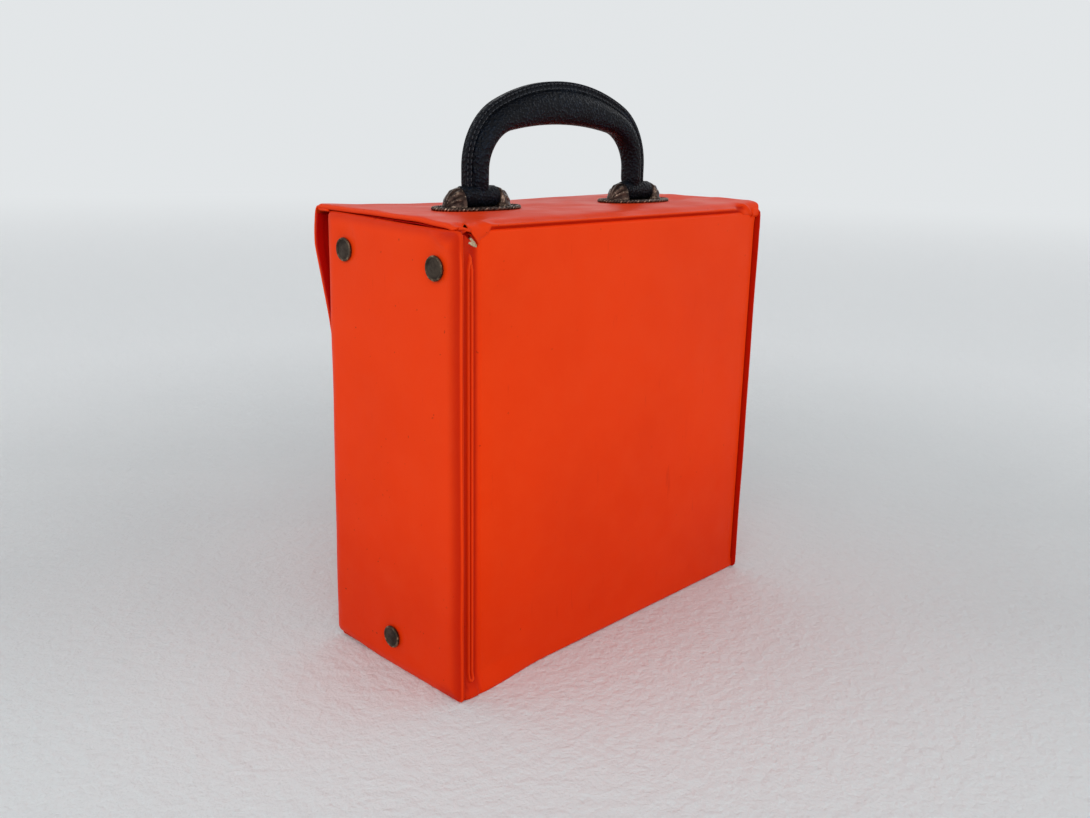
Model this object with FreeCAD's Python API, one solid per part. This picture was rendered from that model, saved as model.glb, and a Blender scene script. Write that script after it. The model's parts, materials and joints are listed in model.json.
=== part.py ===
"""First aid kit: a welded vinyl case with boards in its walls, a hinged lid with a front flap,
and a padded carrying handle.

Millimetres. Origin: middle of the bottom face. X runs along the case, Y from the front (-Y, the
flap side) to the back (+Y), Z up. "Right" is the +X end and "left" the -X end.
"""
import FreeCAD, Part
import math
import os

Vector = FreeCAD.Vector

# Case, outside
case_length = 250.0            # between the outer faces of the two end flanges
case_depth = 112.0             # between the free edges of the end flanges
wall_height = 240.0            # top of the walls and of the end panels
flange_stand = 4.0             # end flange proud of the front and back faces
fold_radius = 7.0              # outer radius of the folds along the bottom

# Sheets and boards
vinyl_thickness = 0.8
lining_thickness = 0.6
wall_board_thickness = 2.4
end_board_thickness = 2.0
flap_board_thickness = 1.2
board_edge_gap = 0.2           # between a board's edge and the vinyl that wraps it

# Walls (back, bottom and front)
board_pocket_inset = 10.4      # from the end flange's outer face to the end of the padded wall
weld_recess = 1.6              # welded strip below the padded face
bead_radius = 0.7
bead_inset = 7.5               # from the end flange's outer face to the middle of the loop
bead_spacing = 2.5             # between the loop's two ridges
bead_bottom = 10.0
bead_top_drop = 11.0           # top of the bead below the top of the wall

# End panels
end_pad_margin = 3.6           # flange width round the padded area
end_pad_edge_radius = 2.0
end_bottom_corner_radius = 6.0
end_top_corner_radius = 3.0

# End rivets, tabs and washers
rivet_cap_radius = 6.0
rivet_cap_thickness = 1.3
rivet_cap_edge = 0.6
rivet_shank_radius = 1.6
rivet_hole_clearance = 0.05
washer_radius = 5.0
washer_thickness = 0.8
back_rivet_inset = 14.0        # from the back face
front_rivet_inset = 17.5       # from the front face
back_rivet_drop = 17.5         # below the top of the end panel
front_rivet_drop = 15.5
bottom_rivet_y = -1.0
bottom_rivet_z = 15.5
tab_thickness = 1.6
tab_reach = 24.0               # length of a tab's leg along the wall it is welded to
tab_half_width = 14.0          # half a tab's size across its rivet
tab_past_rivet = 9.0           # from the rivet's axis to the tab's free edge

# Lid
lid_gap = 1.2                  # between the top of the walls and the lid's underside
lid_end_overhang = 0.5         # past the end flanges' outer faces
lid_front_overhang = 1.6       # past the end flanges' front edges
lid_rear_inset = 2.0           # inside the back face
lid_rim = 1.0                  # vinyl round the edge of the lid board
lid_edge_radius = 2.0
lid_lining_inset = 1.0

# Lid hinge: a round weld bead on the hinge axis
lid_bead_radius = 1.2
lid_bead_half_length = 110.0
lid_bead_inset = 1.5           # hinge axis inside the back face
lid_bead_clearance = 0.4       # bead above the back wall

# Flap
flap_bead_radius = 1.3
flap_bead_clearance = 0.4      # between the lid's front edge and the bead
flap_axis_rise = 1.9           # hinge axis above the lid's underside
flap_length = 98.0             # from the hinge axis to the lower edge
flap_draw_in = 9.5             # how far each side draws in by the lower edge
flap_taper_drop = 18.0         # the sides run straight down this far, then draw in
flap_corner_radius = 20.0
flap_rim = 5.0                 # welded rim round the flap board
flap_flange_clearance = 0.8    # flap's inner face off the end flanges
flap_bulge = 2.4               # how far the upper flap bows out
flap_bulge_top_drop = 7.0      # the bow starts this far below the hinge axis
flap_bulge_bottom_drop = 19.0
flap_bulge_end_drop = 53.0

# Press studs
stud_spacing = 140.0
stud_drop = 83.0               # below the flap's hinge axis
stud_flange_radius = 5.5
stud_flange_thickness = 1.2
stud_post_radius = 2.6
stud_shank_radius = 1.5
stud_face_gap = 1.0            # between the stud's flange and the socket
stud_engagement = 1.4          # length of post inside the socket
socket_end_gap = 0.8           # past the end of the post
socket_clearance = 0.4         # round the stud's post
cap_radius = 6.2
cap_thickness = 1.2
cap_edge = 0.5
shank_hole_clearance = 0.05

# Handle fittings
fitting_spacing = 130.0
plate_half_length = 28.0
plate_half_width = 14.0
plate_thickness = 1.2
plate_squareness = 2.5         # exponent of the plate's outline: 2 is an ellipse
plate_outline_points = 24
dome_half_length = 22.0
dome_half_width = 11.5
dome_height = 12.0
bar_radius = 2.2
bar_half_length = 14.5
bar_end_gap = 0.1
bar_clearance = 0.05           # in the fitting's cheeks
loop_bore_clearance = 0.08     # in the handle's loops
screw_radius = 1.5
screw_offset = 15.0            # from the middle of the fitting
screw_depth = 3.0              # into the cheek
screw_head_radius = 3.0
screw_head_thickness = 1.2
screw_clearance = 0.05
backing_half_length = 24.0
backing_half_width = 9.0
backing_thickness = 1.2

# Handle
loop_half_width = 10.0
loop_side_gap = 0.6            # between a loop and each cheek
loop_radius = 5.2
loop_plate_gap = 0.4           # under the loop
loop_neck_half_width = 8.0
loop_neck_half_depth = 5.0
grip_loop_gap = 0.1            # between the grip and the roll of leather round the bar
grip_half_depth = 7.0
grip_edge_radius = 5.0
welt_height = 3.5
welt_half_depth = 1.6
welt_gap = 0.05
outer_leg_offset = 8.0         # outside of the welt beyond the middle of the fitting
outer_crown_rise = 60.2        # above the bars' axis
outer_spring_rise = 10.2       # where the shoulders start to curve
outer_shoulder_radius = 43.0
inner_leg_offset = -8.0
inner_crown_rise = 36.8
inner_spring_rise = 7.2
inner_shoulder_radius = 25.0
core_leg_offset = -1.8
core_crown_rise = 46.2
core_spring_rise = 12.2
core_shoulder_radius = 30.0
core_leg = 1.0                 # straight end of the core below its curve
core_half_height = 4.2
core_half_depth = 1.5
core_clearance = 0.1
core_end_gap = 0.3

# Modelling
tolerance = 0.01               # slack when edges are picked by their position
overrun = 1.0                  # how far a cut runs past the face it opens

# Worked out from the sizes above
end_plane = case_length / 2
flange_edge = case_depth / 2
wall_face = flange_edge - flange_stand
wall_thickness = vinyl_thickness + wall_board_thickness + lining_thickness
board_back = vinyl_thickness + wall_board_thickness
flange_thickness = lining_thickness + lining_thickness
wall_end = end_plane - flange_thickness
pocket_end = end_plane - board_pocket_inset
end_pad_face = wall_end + lining_thickness + end_board_thickness + vinyl_thickness
bead_top = wall_height - bead_top_drop
back_rivet_y = wall_face - back_rivet_inset
front_rivet_y = front_rivet_inset - wall_face
back_rivet_z = wall_height - back_rivet_drop
front_rivet_z = wall_height - front_rivet_drop
lid_bottom = wall_height + lid_gap
lid_top = lid_bottom + wall_thickness
lid_half_length = end_plane + lid_end_overhang
lid_front_y = -(flange_edge + lid_front_overhang)
lid_rear_y = wall_face - lid_rear_inset
lid_axis_y = wall_face - lid_bead_inset
lid_axis_z = wall_height + lid_bead_clearance + lid_bead_radius
flap_axis_y = lid_front_y - flap_bead_clearance - flap_bead_radius
flap_axis_z = lid_bottom + flap_axis_rise
flap_half_width_top = end_plane
flap_half_width_bottom = end_plane - flap_draw_in
flap_thickness = vinyl_thickness + flap_board_thickness + lining_thickness
flap_inner_y = -(flange_edge + flap_flange_clearance)
flap_outer_y = flap_inner_y - flap_thickness
flap_bottom = flap_axis_z - flap_length
stud_z = flap_axis_z - stud_drop
stud_post_height = stud_face_gap + stud_engagement
socket_recess_depth = stud_engagement + socket_end_gap
socket_thickness = flange_stand + flap_flange_clearance - stud_flange_thickness - stud_face_gap
plate_top = lid_top + plate_thickness
bar_z = plate_top + loop_plate_gap + loop_radius
grip_bottom = bar_z + loop_radius + grip_loop_gap


def box(x0, x1, y0, y1, z0, z1):
    """Axis-aligned box between two corners, given in either order."""
    x0, x1 = sorted((x0, x1))
    y0, y1 = sorted((y0, y1))
    z0, z1 = sorted((z0, z1))
    return Part.makeBox(x1 - x0, y1 - y0, z1 - z0, Vector(x0, y0, z0))


def rod_x(radius, x0, x1, y, z):
    """Cylinder along X."""
    x0, x1 = sorted((x0, x1))
    return Part.makeCylinder(radius, x1 - x0, Vector(x0, y, z), Vector(1, 0, 0))


def rod_y(radius, y0, y1, x, z):
    """Cylinder along Y."""
    y0, y1 = sorted((y0, y1))
    return Part.makeCylinder(radius, y1 - y0, Vector(x, y0, z), Vector(0, 1, 0))


def rod_z(radius, z0, z1, x, y):
    """Cylinder along Z."""
    z0, z1 = sorted((z0, z1))
    return Part.makeCylinder(radius, z1 - z0, Vector(x, y, z0), Vector(0, 0, 1))


def mirror_x(shape):
    """The same shape on the other end of the case."""
    return shape.mirror(Vector(0, 0, 0), Vector(1, 0, 0))


def mirror_y(shape):
    """The same shape on the other side of the case."""
    return shape.mirror(Vector(0, 0, 0), Vector(0, 1, 0))


def joined(shapes):
    """One solid from overlapping shapes, with the seams between flush faces removed."""
    return shapes[0].multiFuse(shapes[1:]).removeSplitter()


def outer_rim(shape, z):
    """Edges of a shape that lie in the plane at height z."""
    low = z - tolerance
    high = z + tolerance
    return [e for e in shape.Edges if e.BoundBox.ZMin > low and e.BoundBox.ZMax < high]


# Walls: one strip that runs down the back, under the case and up the front


def strip_core(inset, half_length, top):
    """What lies inside the strip's section, that far in from its outer faces."""
    half = wall_face - inset
    core = box(-half_length, half_length, -half, half, inset, top)
    radius = fold_radius - inset
    folds = [e for e in outer_rim(core, inset) if e.BoundBox.YLength < tolerance]
    return core.makeFillet(radius, folds)


def strip(outer, inner, half_length, top=wall_height):
    """A layer of the strip between two insets."""
    above = top + wall_thickness
    return strip_core(outer, half_length, top).cut(strip_core(inner, half_length + overrun, above))


def end_slices(shape, inner_x, outer_x):
    """The parts of a shape near its two ends."""
    reach = 2 * wall_height
    right = shape.common(box(inner_x, outer_x, -reach, reach, -reach, reach))
    left = shape.common(box(-inner_x, -outer_x, -reach, reach, -reach, reach))
    return [right, left]


def bead_loop():
    """Long narrow loop of weld bead on the right end of the back wall."""
    surface = wall_face - weld_recess
    outer_x = end_plane - bead_inset + bead_spacing / 2
    inner_x = outer_x - bead_spacing
    runs = [rod_z(bead_radius, bead_bottom, bead_top, x, surface) for x in (inner_x, outer_x)]
    middle = Vector((inner_x + outer_x) / 2, surface, bead_bottom)
    turn = Part.makeTorus(bead_spacing / 2, bead_radius, middle, Vector(0, 1, 0))
    reach = bead_spacing
    below = box(inner_x - reach, outer_x + reach, surface - reach, surface + reach, 0, bead_bottom)
    return runs + [turn.common(below)]


def wall_skin():
    """Outer vinyl: padded panels with a recessed welded strip at each end."""
    padded = strip(0, board_back, pocket_end)
    pocket = strip(vinyl_thickness, board_back, pocket_end - vinyl_thickness,
                   wall_height - vinyl_thickness)
    welded = strip(weld_recess, board_back, wall_end)
    solid = joined([padded.cut(pocket)] + end_slices(welded, pocket_end - vinyl_thickness, wall_end))
    beads = bead_loop()
    for bead in bead_loop():
        beads += [mirror_x(bead), mirror_y(bead), mirror_x(mirror_y(bead))]
    return solid.fuse(beads)


def wall_lining():
    return strip(board_back, wall_thickness, wall_end)


def board_half_length():
    return pocket_end - vinyl_thickness - board_edge_gap


def back_board():
    face = wall_face - vinyl_thickness
    top = wall_height - vinyl_thickness - board_edge_gap
    return box(-board_half_length(), board_half_length(), face - wall_board_thickness, face,
               fold_radius, top)


def bottom_board():
    half = wall_face - fold_radius
    return box(-board_half_length(), board_half_length(), -half, half, vinyl_thickness, board_back)


# End panels: a board between a vinyl face and a flat lining, welded together round the edge


def end_outline(x0, x1):
    """Plate with the end panel's rounded outline."""
    plate = box(x0, x1, -flange_edge, flange_edge, 0, wall_height)
    for radius, z in ((end_bottom_corner_radius, 0), (end_top_corner_radius, wall_height)):
        corners = [e for e in outer_rim(plate, z) if e.BoundBox.YLength < tolerance]
        plate = plate.makeFillet(radius, corners)
    return plate


def end_rivet_places():
    return [(back_rivet_y, back_rivet_z), (front_rivet_y, front_rivet_z),
            (bottom_rivet_y, bottom_rivet_z)]


def end_rivet_holes():
    radius = rivet_shank_radius + rivet_hole_clearance
    inside = wall_end - tab_thickness - washer_thickness - overrun
    return [rod_x(radius, inside, end_pad_face + overrun, y, z) for y, z in end_rivet_places()]


def end_board():
    margin = end_pad_margin + vinyl_thickness + board_edge_gap
    x0 = wall_end + lining_thickness
    board = box(x0, x0 + end_board_thickness, -flange_edge + margin, flange_edge - margin,
                margin, wall_height - margin)
    return board.cut(end_rivet_holes())


def end_skin():
    x0 = wall_end + lining_thickness
    flange = end_outline(x0, end_plane)
    half = flange_edge - end_pad_margin
    pad = box(x0, end_pad_face, -half, half, end_pad_margin, wall_height - end_pad_margin)
    rim = [e for e in pad.Edges if e.BoundBox.XMin > end_pad_face - tolerance]
    pad = pad.makeFillet(end_pad_edge_radius, rim)
    margin = end_pad_margin + vinyl_thickness
    pocket = box(x0, x0 + end_board_thickness, -flange_edge + margin, flange_edge - margin,
                 margin, wall_height - margin)
    return joined([flange, pad]).cut([pocket] + end_rivet_holes())


def end_lining():
    return end_outline(wall_end, wall_end + lining_thickness).cut(end_rivet_holes())


def end_rivets():
    """Round caps outside, with a shank through the panel, the tab and the washer."""
    shank_end = wall_end - tab_thickness - washer_thickness
    rivets = []
    for y, z in end_rivet_places():
        cap_face = end_pad_face + rivet_cap_thickness
        cap = rod_x(rivet_cap_radius, end_pad_face, cap_face, y, z)
        rim = [e for e in cap.Edges if e.BoundBox.XMin > cap_face - tolerance]
        cap = cap.makeFillet(rivet_cap_edge, rim)
        shank = rod_x(rivet_shank_radius, shank_end, end_pad_face, y, z)
        rivets.append(joined([cap, shank]))
    return Part.makeCompound(rivets)


def end_washers():
    x1 = wall_end - tab_thickness
    discs = [rod_x(washer_radius, x1 - washer_thickness, x1, y, z) for y, z in end_rivet_places()]
    return Part.makeCompound([disc.cut(end_rivet_holes()) for disc in discs])


def side_tab(y_rivet, z_rivet):
    """Tab welded to the front or back wall and turned against the end panel."""
    side = math.copysign(1, y_rivet)
    wall = side * (wall_face - wall_thickness)
    free_edge = y_rivet - side * tab_past_rivet
    z0 = z_rivet - tab_half_width
    z1 = z_rivet + tab_half_width
    on_end = box(wall_end - tab_thickness, wall_end, free_edge, wall, z0, z1)
    on_wall = box(wall_end - tab_reach, wall_end, wall - side * tab_thickness, wall, z0, z1)
    return joined([on_end, on_wall]).cut(end_rivet_holes())


def bottom_tab():
    y0 = bottom_rivet_y - tab_half_width
    y1 = bottom_rivet_y + tab_half_width
    on_end = box(wall_end - tab_thickness, wall_end, y0, y1, wall_thickness,
                 bottom_rivet_z + tab_past_rivet)
    on_floor = box(wall_end - tab_reach, wall_end, y0, y1, wall_thickness,
                   wall_thickness + tab_thickness)
    return joined([on_end, on_floor]).cut(end_rivet_holes())


# Press studs


def stud_places():
    return [(x, stud_z) for x in (-stud_spacing / 2, stud_spacing / 2)]


def stud_holes():
    """Holes for the studs' shanks, through the front wall and the flap."""
    radius = stud_shank_radius + shank_hole_clearance
    outside = flap_outer_y - overrun
    inside = -(wall_face - wall_thickness - washer_thickness - overrun)
    return [rod_y(radius, outside, inside, x, z) for x, z in stud_places()]


def front_studs():
    studs = []
    for x, z in stud_places():
        flange_face = -wall_face - stud_flange_thickness
        flange = rod_y(stud_flange_radius, -wall_face, flange_face, x, z)
        post = rod_y(stud_post_radius, flange_face, flange_face - stud_post_height, x, z)
        shank_end = -(wall_face - wall_thickness - washer_thickness)
        shank = rod_y(stud_shank_radius, -wall_face, shank_end, x, z)
        studs.append(joined([flange, post, shank]))
    return Part.makeCompound(studs)


def front_stud_washers():
    inner = -(wall_face - wall_thickness)
    discs = [rod_y(washer_radius, inner, inner + washer_thickness, x, z) for x, z in stud_places()]
    return Part.makeCompound([disc.cut(stud_holes()) for disc in discs])


def flap_sockets():
    """Rings on the flap's inner face, each with a recess that takes a stud's post."""
    sockets = []
    for x, z in stud_places():
        mouth = flap_inner_y + socket_thickness
        ring = rod_y(stud_flange_radius, flap_inner_y, mouth, x, z)
        recess = rod_y(stud_post_radius + socket_clearance, mouth - socket_recess_depth, mouth, x, z)
        sockets.append(ring.cut(recess))
    return Part.makeCompound(sockets)


def flap_caps():
    caps = []
    for x, z in stud_places():
        cap = rod_y(cap_radius, flap_outer_y, flap_outer_y - cap_thickness, x, z)
        rim = [e for e in cap.Edges if e.BoundBox.YMax < flap_outer_y - cap_thickness + tolerance]
        shank = rod_y(stud_shank_radius, flap_outer_y, flap_inner_y, x, z)
        caps.append(joined([cap.makeFillet(cap_edge, rim), shank]))
    return Part.makeCompound(caps)


# Lid


def screw_places():
    middle = fitting_spacing / 2
    return [side * middle + offset for side in (-1, 1) for offset in (-screw_offset, screw_offset)]


def screw_holes():
    radius = screw_radius + screw_clearance
    low = lid_bottom - backing_thickness - overrun
    return [rod_z(radius, low, plate_top + screw_depth, x, 0) for x in screw_places()]


def lid_board():
    rim = lid_rim + board_edge_gap
    low = lid_bottom + lining_thickness
    board = box(-lid_half_length + rim, lid_half_length - rim, lid_front_y + rim, lid_rear_y - rim,
                low, low + wall_board_thickness)
    return board.cut(screw_holes())


def lid_skin():
    low = lid_bottom + lining_thickness
    block = box(-lid_half_length, lid_half_length, lid_front_y, lid_rear_y, low, lid_top)
    block = block.makeFillet(lid_edge_radius, outer_rim(block, lid_top))
    pocket = box(-lid_half_length + lid_rim, lid_half_length - lid_rim, lid_front_y + lid_rim,
                 lid_rear_y - lid_rim, low, low + wall_board_thickness)
    bead = rod_x(lid_bead_radius, -lid_bead_half_length, lid_bead_half_length, lid_axis_y, lid_axis_z)
    return block.cut([pocket] + screw_holes()).fuse(bead)


def lid_lining():
    sheet = box(-lid_half_length, lid_half_length, lid_front_y, lid_rear_y - lid_lining_inset,
                lid_bottom, lid_bottom + lining_thickness)
    return sheet.cut(screw_holes())


# Flap


def flap_section(outer, inner):
    """Section of a layer of the flap in the YZ plane, as polyline points, outer side first."""
    drops = [0, flap_bulge_top_drop, flap_bulge_bottom_drop, flap_bulge_end_drop, flap_length]
    top_y = flap_axis_y - flap_bead_radius
    ys = [top_y, flap_outer_y - flap_bulge, flap_outer_y - flap_bulge, flap_outer_y, flap_outer_y]
    outer_line = [Vector(0, y + outer, flap_axis_z - drop) for y, drop in zip(ys, drops)]
    inner_line = [Vector(0, y + inner, flap_axis_z - drop) for y, drop in zip(ys, drops)]
    return outer_line + inner_line[::-1]


def flap_outline(inset):
    """Outline of the flap from the front, as a solid deep enough to cut every layer."""
    top = flap_axis_z
    low = flap_bottom + inset
    shoulder = flap_axis_z - flap_taper_drop
    upper = flap_half_width_top - inset
    lower = flap_half_width_bottom - inset
    points = [(-upper, top), (-upper, shoulder), (-lower, low), (lower, low), (upper, shoulder),
              (upper, top)]
    front = flap_outer_y - 2 * flap_bulge
    depth = 2 * flap_bulge + 2 * flap_thickness
    ring = Part.makePolygon([Vector(x, front, z) for x, z in points + points[:1]])
    slab = Part.Face(ring).extrude(Vector(0, depth, 0))
    corners = [e for e in outer_rim(slab, low) if e.BoundBox.XLength < tolerance]
    return slab.makeFillet(flap_corner_radius - inset, corners)


def flap_layer(outer, inner, inset, top_inset=0.0):
    """A layer of the flap between two depths below its outer face."""
    section = flap_section(outer, inner)
    face = Part.Face(Part.makePolygon(section + section[:1]))
    wide = 2 * flap_half_width_top
    sheet = face.extrude(Vector(wide, 0, 0))
    sheet.translate(Vector(-wide / 2, 0, 0))
    sheet = sheet.common(flap_outline(inset))
    if top_inset > 0:
        reach = 2 * case_depth
        top = flap_axis_z - top_inset
        sheet = sheet.common(box(-wide, wide, -reach, reach, 0, top))
    return sheet


def flap_board():
    low = vinyl_thickness
    gap = board_edge_gap
    board = flap_layer(low, low + flap_board_thickness, flap_rim + gap, flap_rim + gap)
    return board.cut(stud_holes())


def flap_skin():
    inner = vinyl_thickness + flap_board_thickness
    pocket = flap_layer(vinyl_thickness, inner, flap_rim, flap_rim)
    sheet = flap_layer(0, inner, 0)
    bead = rod_x(flap_bead_radius, -flap_half_width_top, flap_half_width_top, flap_axis_y, flap_axis_z)
    return sheet.cut([pocket] + stud_holes()).fuse(bead)


def flap_lining():
    inner = vinyl_thickness + flap_board_thickness
    sheet = flap_layer(inner, flap_thickness, 0, flap_bead_radius + flap_bead_clearance)
    return sheet.cut(stud_holes())


# Handle fittings, drawn for the right-hand one


def plate_outline():
    """Closed curve of the base plate, a softened rectangle that bulges along each side."""
    points = []
    for i in range(plate_outline_points):
        angle = 2 * math.pi * i / plate_outline_points
        c = math.cos(angle)
        s = math.sin(angle)
        x = plate_half_length * math.copysign(abs(c) ** (2 / plate_squareness), c)
        y = plate_half_width * math.copysign(abs(s) ** (2 / plate_squareness), s)
        points.append(Vector(fitting_spacing / 2 + x, y, lid_top))
    curve = Part.BSplineCurve()
    curve.interpolate(Points=points, PeriodicFlag=True)
    return curve.toShape()


def fitting():
    """Base plate with a domed cheek on each side of the handle's loop."""
    middle = fitting_spacing / 2
    plate = Part.Face(Part.Wire(plate_outline())).extrude(Vector(0, 0, plate_thickness))
    scale = FreeCAD.Matrix()
    scale.scale(dome_half_length, dome_half_width, dome_height)
    dome = Part.makeSphere(1.0).transformGeometry(scale)
    dome.translate(Vector(middle, 0, plate_top - plate_thickness / 2))
    reach = 2 * dome_half_length
    dome = dome.common(box(middle - reach, middle + reach, -reach, reach,
                           plate_top - plate_thickness / 2, plate_top + reach))
    slot = loop_half_width + loop_side_gap
    dome = dome.cut(box(middle - slot, middle + slot, -reach, reach, plate_top, plate_top + reach))
    bar_end = bar_half_length + bar_end_gap
    bore = rod_x(bar_radius + bar_clearance, middle - bar_end, middle + bar_end, 0, bar_z)
    return plate.fuse(dome).cut([bore] + screw_holes())


def fitting_bar():
    middle = fitting_spacing / 2
    return rod_x(bar_radius, middle - bar_half_length, middle + bar_half_length, 0, bar_z)


def fitting_screws():
    """Two screws from under the lid, through the backing plate and up into the cheeks."""
    head_top = lid_bottom - backing_thickness
    screws = []
    for x in [x for x in screw_places() if x > 0]:
        head = rod_z(screw_head_radius, head_top - screw_head_thickness, head_top, x, 0)
        shank = rod_z(screw_radius, head_top, plate_top + screw_depth - bar_end_gap, x, 0)
        screws.append(joined([head, shank]))
    return Part.makeCompound(screws)


def backing_plate():
    middle = fitting_spacing / 2
    plate = box(middle - backing_half_length, middle + backing_half_length, -backing_half_width,
                backing_half_width, lid_bottom - backing_thickness, lid_bottom)
    return plate.cut(screw_holes())


# Handle: arches with a crown arc and two shoulder arcs, which meet without a kink


def arch_edges(half_width, spring_z, crown_z, shoulder_radius, foot_z):
    """Edges from the right foot over the crown to the left foot, in the XZ plane."""
    shoulder_x = half_width - shoulder_radius
    rise = crown_z - spring_z
    spare = rise - shoulder_radius
    crown_radius = (shoulder_x ** 2 + rise ** 2 - shoulder_radius ** 2) / (2 * spare)
    crown_centre_z = crown_z - crown_radius
    lean = math.atan2(shoulder_x, spring_z - crown_centre_z)
    join = Vector(crown_radius * math.sin(lean), 0, crown_centre_z + crown_radius * math.cos(lean))
    half_turn = (math.pi / 2 - lean) / 2
    shoulder = Vector(shoulder_x + shoulder_radius * math.cos(half_turn), 0,
                      spring_z + shoulder_radius * math.sin(half_turn))
    foot = Vector(half_width, 0, foot_z)
    spring = Vector(half_width, 0, spring_z)
    crown = Vector(0, 0, crown_z)

    def across(point):
        return Vector(-point.x, point.y, point.z)

    return [Part.LineSegment(foot, spring).toShape(),
            Part.Arc(spring, shoulder, join).toShape(),
            Part.Arc(join, crown, across(join)).toShape(),
            Part.Arc(across(join), across(shoulder), across(spring)).toShape(),
            Part.LineSegment(across(spring), across(foot)).toShape()]


def arch_band(outer, inner, foot_z, half_depth):
    """Solid between two arches, each given as (half width, spring, crown, shoulder radius)."""
    outer_edges = arch_edges(*outer, foot_z)
    inner_edges = arch_edges(*inner, foot_z)
    feet = [Part.LineSegment(Vector(side * outer[0], 0, foot_z),
                             Vector(side * inner[0], 0, foot_z)).toShape() for side in (-1, 1)]
    ring = Part.Wire(Part.__sortEdges__(outer_edges + inner_edges + feet))
    band = Part.Face(ring).extrude(Vector(0, 2 * half_depth, 0))
    band.translate(Vector(0, -half_depth, 0))
    return band


def grown(arch, offset):
    """The parallel arch that lies further out by an offset."""
    half_width, spring_z, crown_z, shoulder_radius = arch
    return half_width + offset, spring_z, crown_z + offset, shoulder_radius + offset


def arch(leg_offset, spring_rise, crown_rise, shoulder_radius):
    """An arch over the two bars, as (half width, spring, crown, shoulder radius)."""
    return fitting_spacing / 2 + leg_offset, bar_z + spring_rise, bar_z + crown_rise, shoulder_radius


outer_arch = arch(outer_leg_offset, outer_spring_rise, outer_crown_rise, outer_shoulder_radius)
inner_arch = arch(inner_leg_offset, inner_spring_rise, inner_crown_rise, inner_shoulder_radius)
core_arch = arch(core_leg_offset, core_spring_rise, core_crown_rise, core_shoulder_radius)
core_foot = bar_z + core_spring_rise - core_leg


def core_band(clearance, foot_z):
    half = core_half_height + clearance
    return arch_band(grown(core_arch, half), grown(core_arch, -half), foot_z,
                     core_half_depth + clearance)


def handle_grip():
    """Padded body, with a channel along it for the core and the loops' tangs."""
    body = arch_band(grown(outer_arch, -welt_height), inner_arch, grip_bottom, grip_half_depth)
    long_edges = [e for e in body.Edges
                  if e.BoundBox.YLength < tolerance and e.BoundBox.ZMax > grip_bottom + tolerance]
    body = body.makeFillet(grip_edge_radius, long_edges)
    return body.cut(core_band(core_clearance, grip_bottom - overrun))


def handle_welt():
    """Flat stitched rim along the outside of the grip."""
    return arch_band(outer_arch, grown(outer_arch, welt_gap - welt_height), grip_bottom,
                     welt_half_depth)


def handle_core():
    return core_band(0, core_foot)


def handle_loop():
    """Loop round the right-hand bar, with a neck and a tang that goes up into the grip."""
    middle = fitting_spacing / 2
    roll = rod_x(loop_radius, middle - loop_half_width, middle + loop_half_width, 0, bar_z)
    neck = box(middle - loop_neck_half_width, middle + loop_neck_half_width,
               -loop_neck_half_depth, loop_neck_half_depth, bar_z, grip_bottom)
    tang_x = middle + core_leg_offset
    tang = box(tang_x - core_half_height, tang_x + core_half_height,
               -core_half_depth, core_half_depth, bar_z, core_foot - core_end_gap)
    reach = 2 * loop_half_width
    bore = rod_x(bar_radius + loop_bore_clearance, middle - reach, middle + reach, 0, bar_z)
    return joined([roll, neck, tang]).cut(bore)


def nodes():
    """Every piece by name."""
    parts = {
        "wall_skin": wall_skin().cut(stud_holes()),
        "wall_lining": wall_lining().cut(stud_holes()),
        "back_board": back_board(),
        "front_board": mirror_y(back_board()).cut(stud_holes()),
        "bottom_board": bottom_board(),
        "front_studs": front_studs(),
        "front_stud_washers": front_stud_washers(),
        "lid_skin": lid_skin(),
        "lid_board": lid_board(),
        "lid_lining": lid_lining(),
        "flap_skin": flap_skin(),
        "flap_board": flap_board(),
        "flap_lining": flap_lining(),
        "flap_caps": flap_caps(),
        "flap_sockets": flap_sockets(),
        "handle_grip": handle_grip(),
        "handle_welt": handle_welt(),
        "handle_core": handle_core(),
    }
    right_hand = {
        "end_skin": end_skin(),
        "end_board": end_board(),
        "end_lining": end_lining(),
        "back_tab": side_tab(back_rivet_y, back_rivet_z),
        "front_tab": side_tab(front_rivet_y, front_rivet_z),
        "bottom_tab": bottom_tab(),
        "end_rivets": end_rivets(),
        "end_washers": end_washers(),
        "fitting": fitting(),
        "fitting_bar": fitting_bar(),
        "fitting_screws": fitting_screws(),
        "backing_plate": backing_plate(),
        "handle_loop": handle_loop(),
    }
    for name, shape in right_hand.items():
        parts["right_" + name] = shape
        parts["left_" + name] = mirror_x(shape)
    return parts


os.makedirs("parts", exist_ok=True)
for node, shape in nodes().items():
    shape.exportStep("parts/" + node + ".step")
    print(node, len(shape.Solids), round(shape.Volume, 1), shape.isValid())
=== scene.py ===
import json
import math

import bpy
import numpy as np
from mathutils import Matrix, Vector


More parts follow.
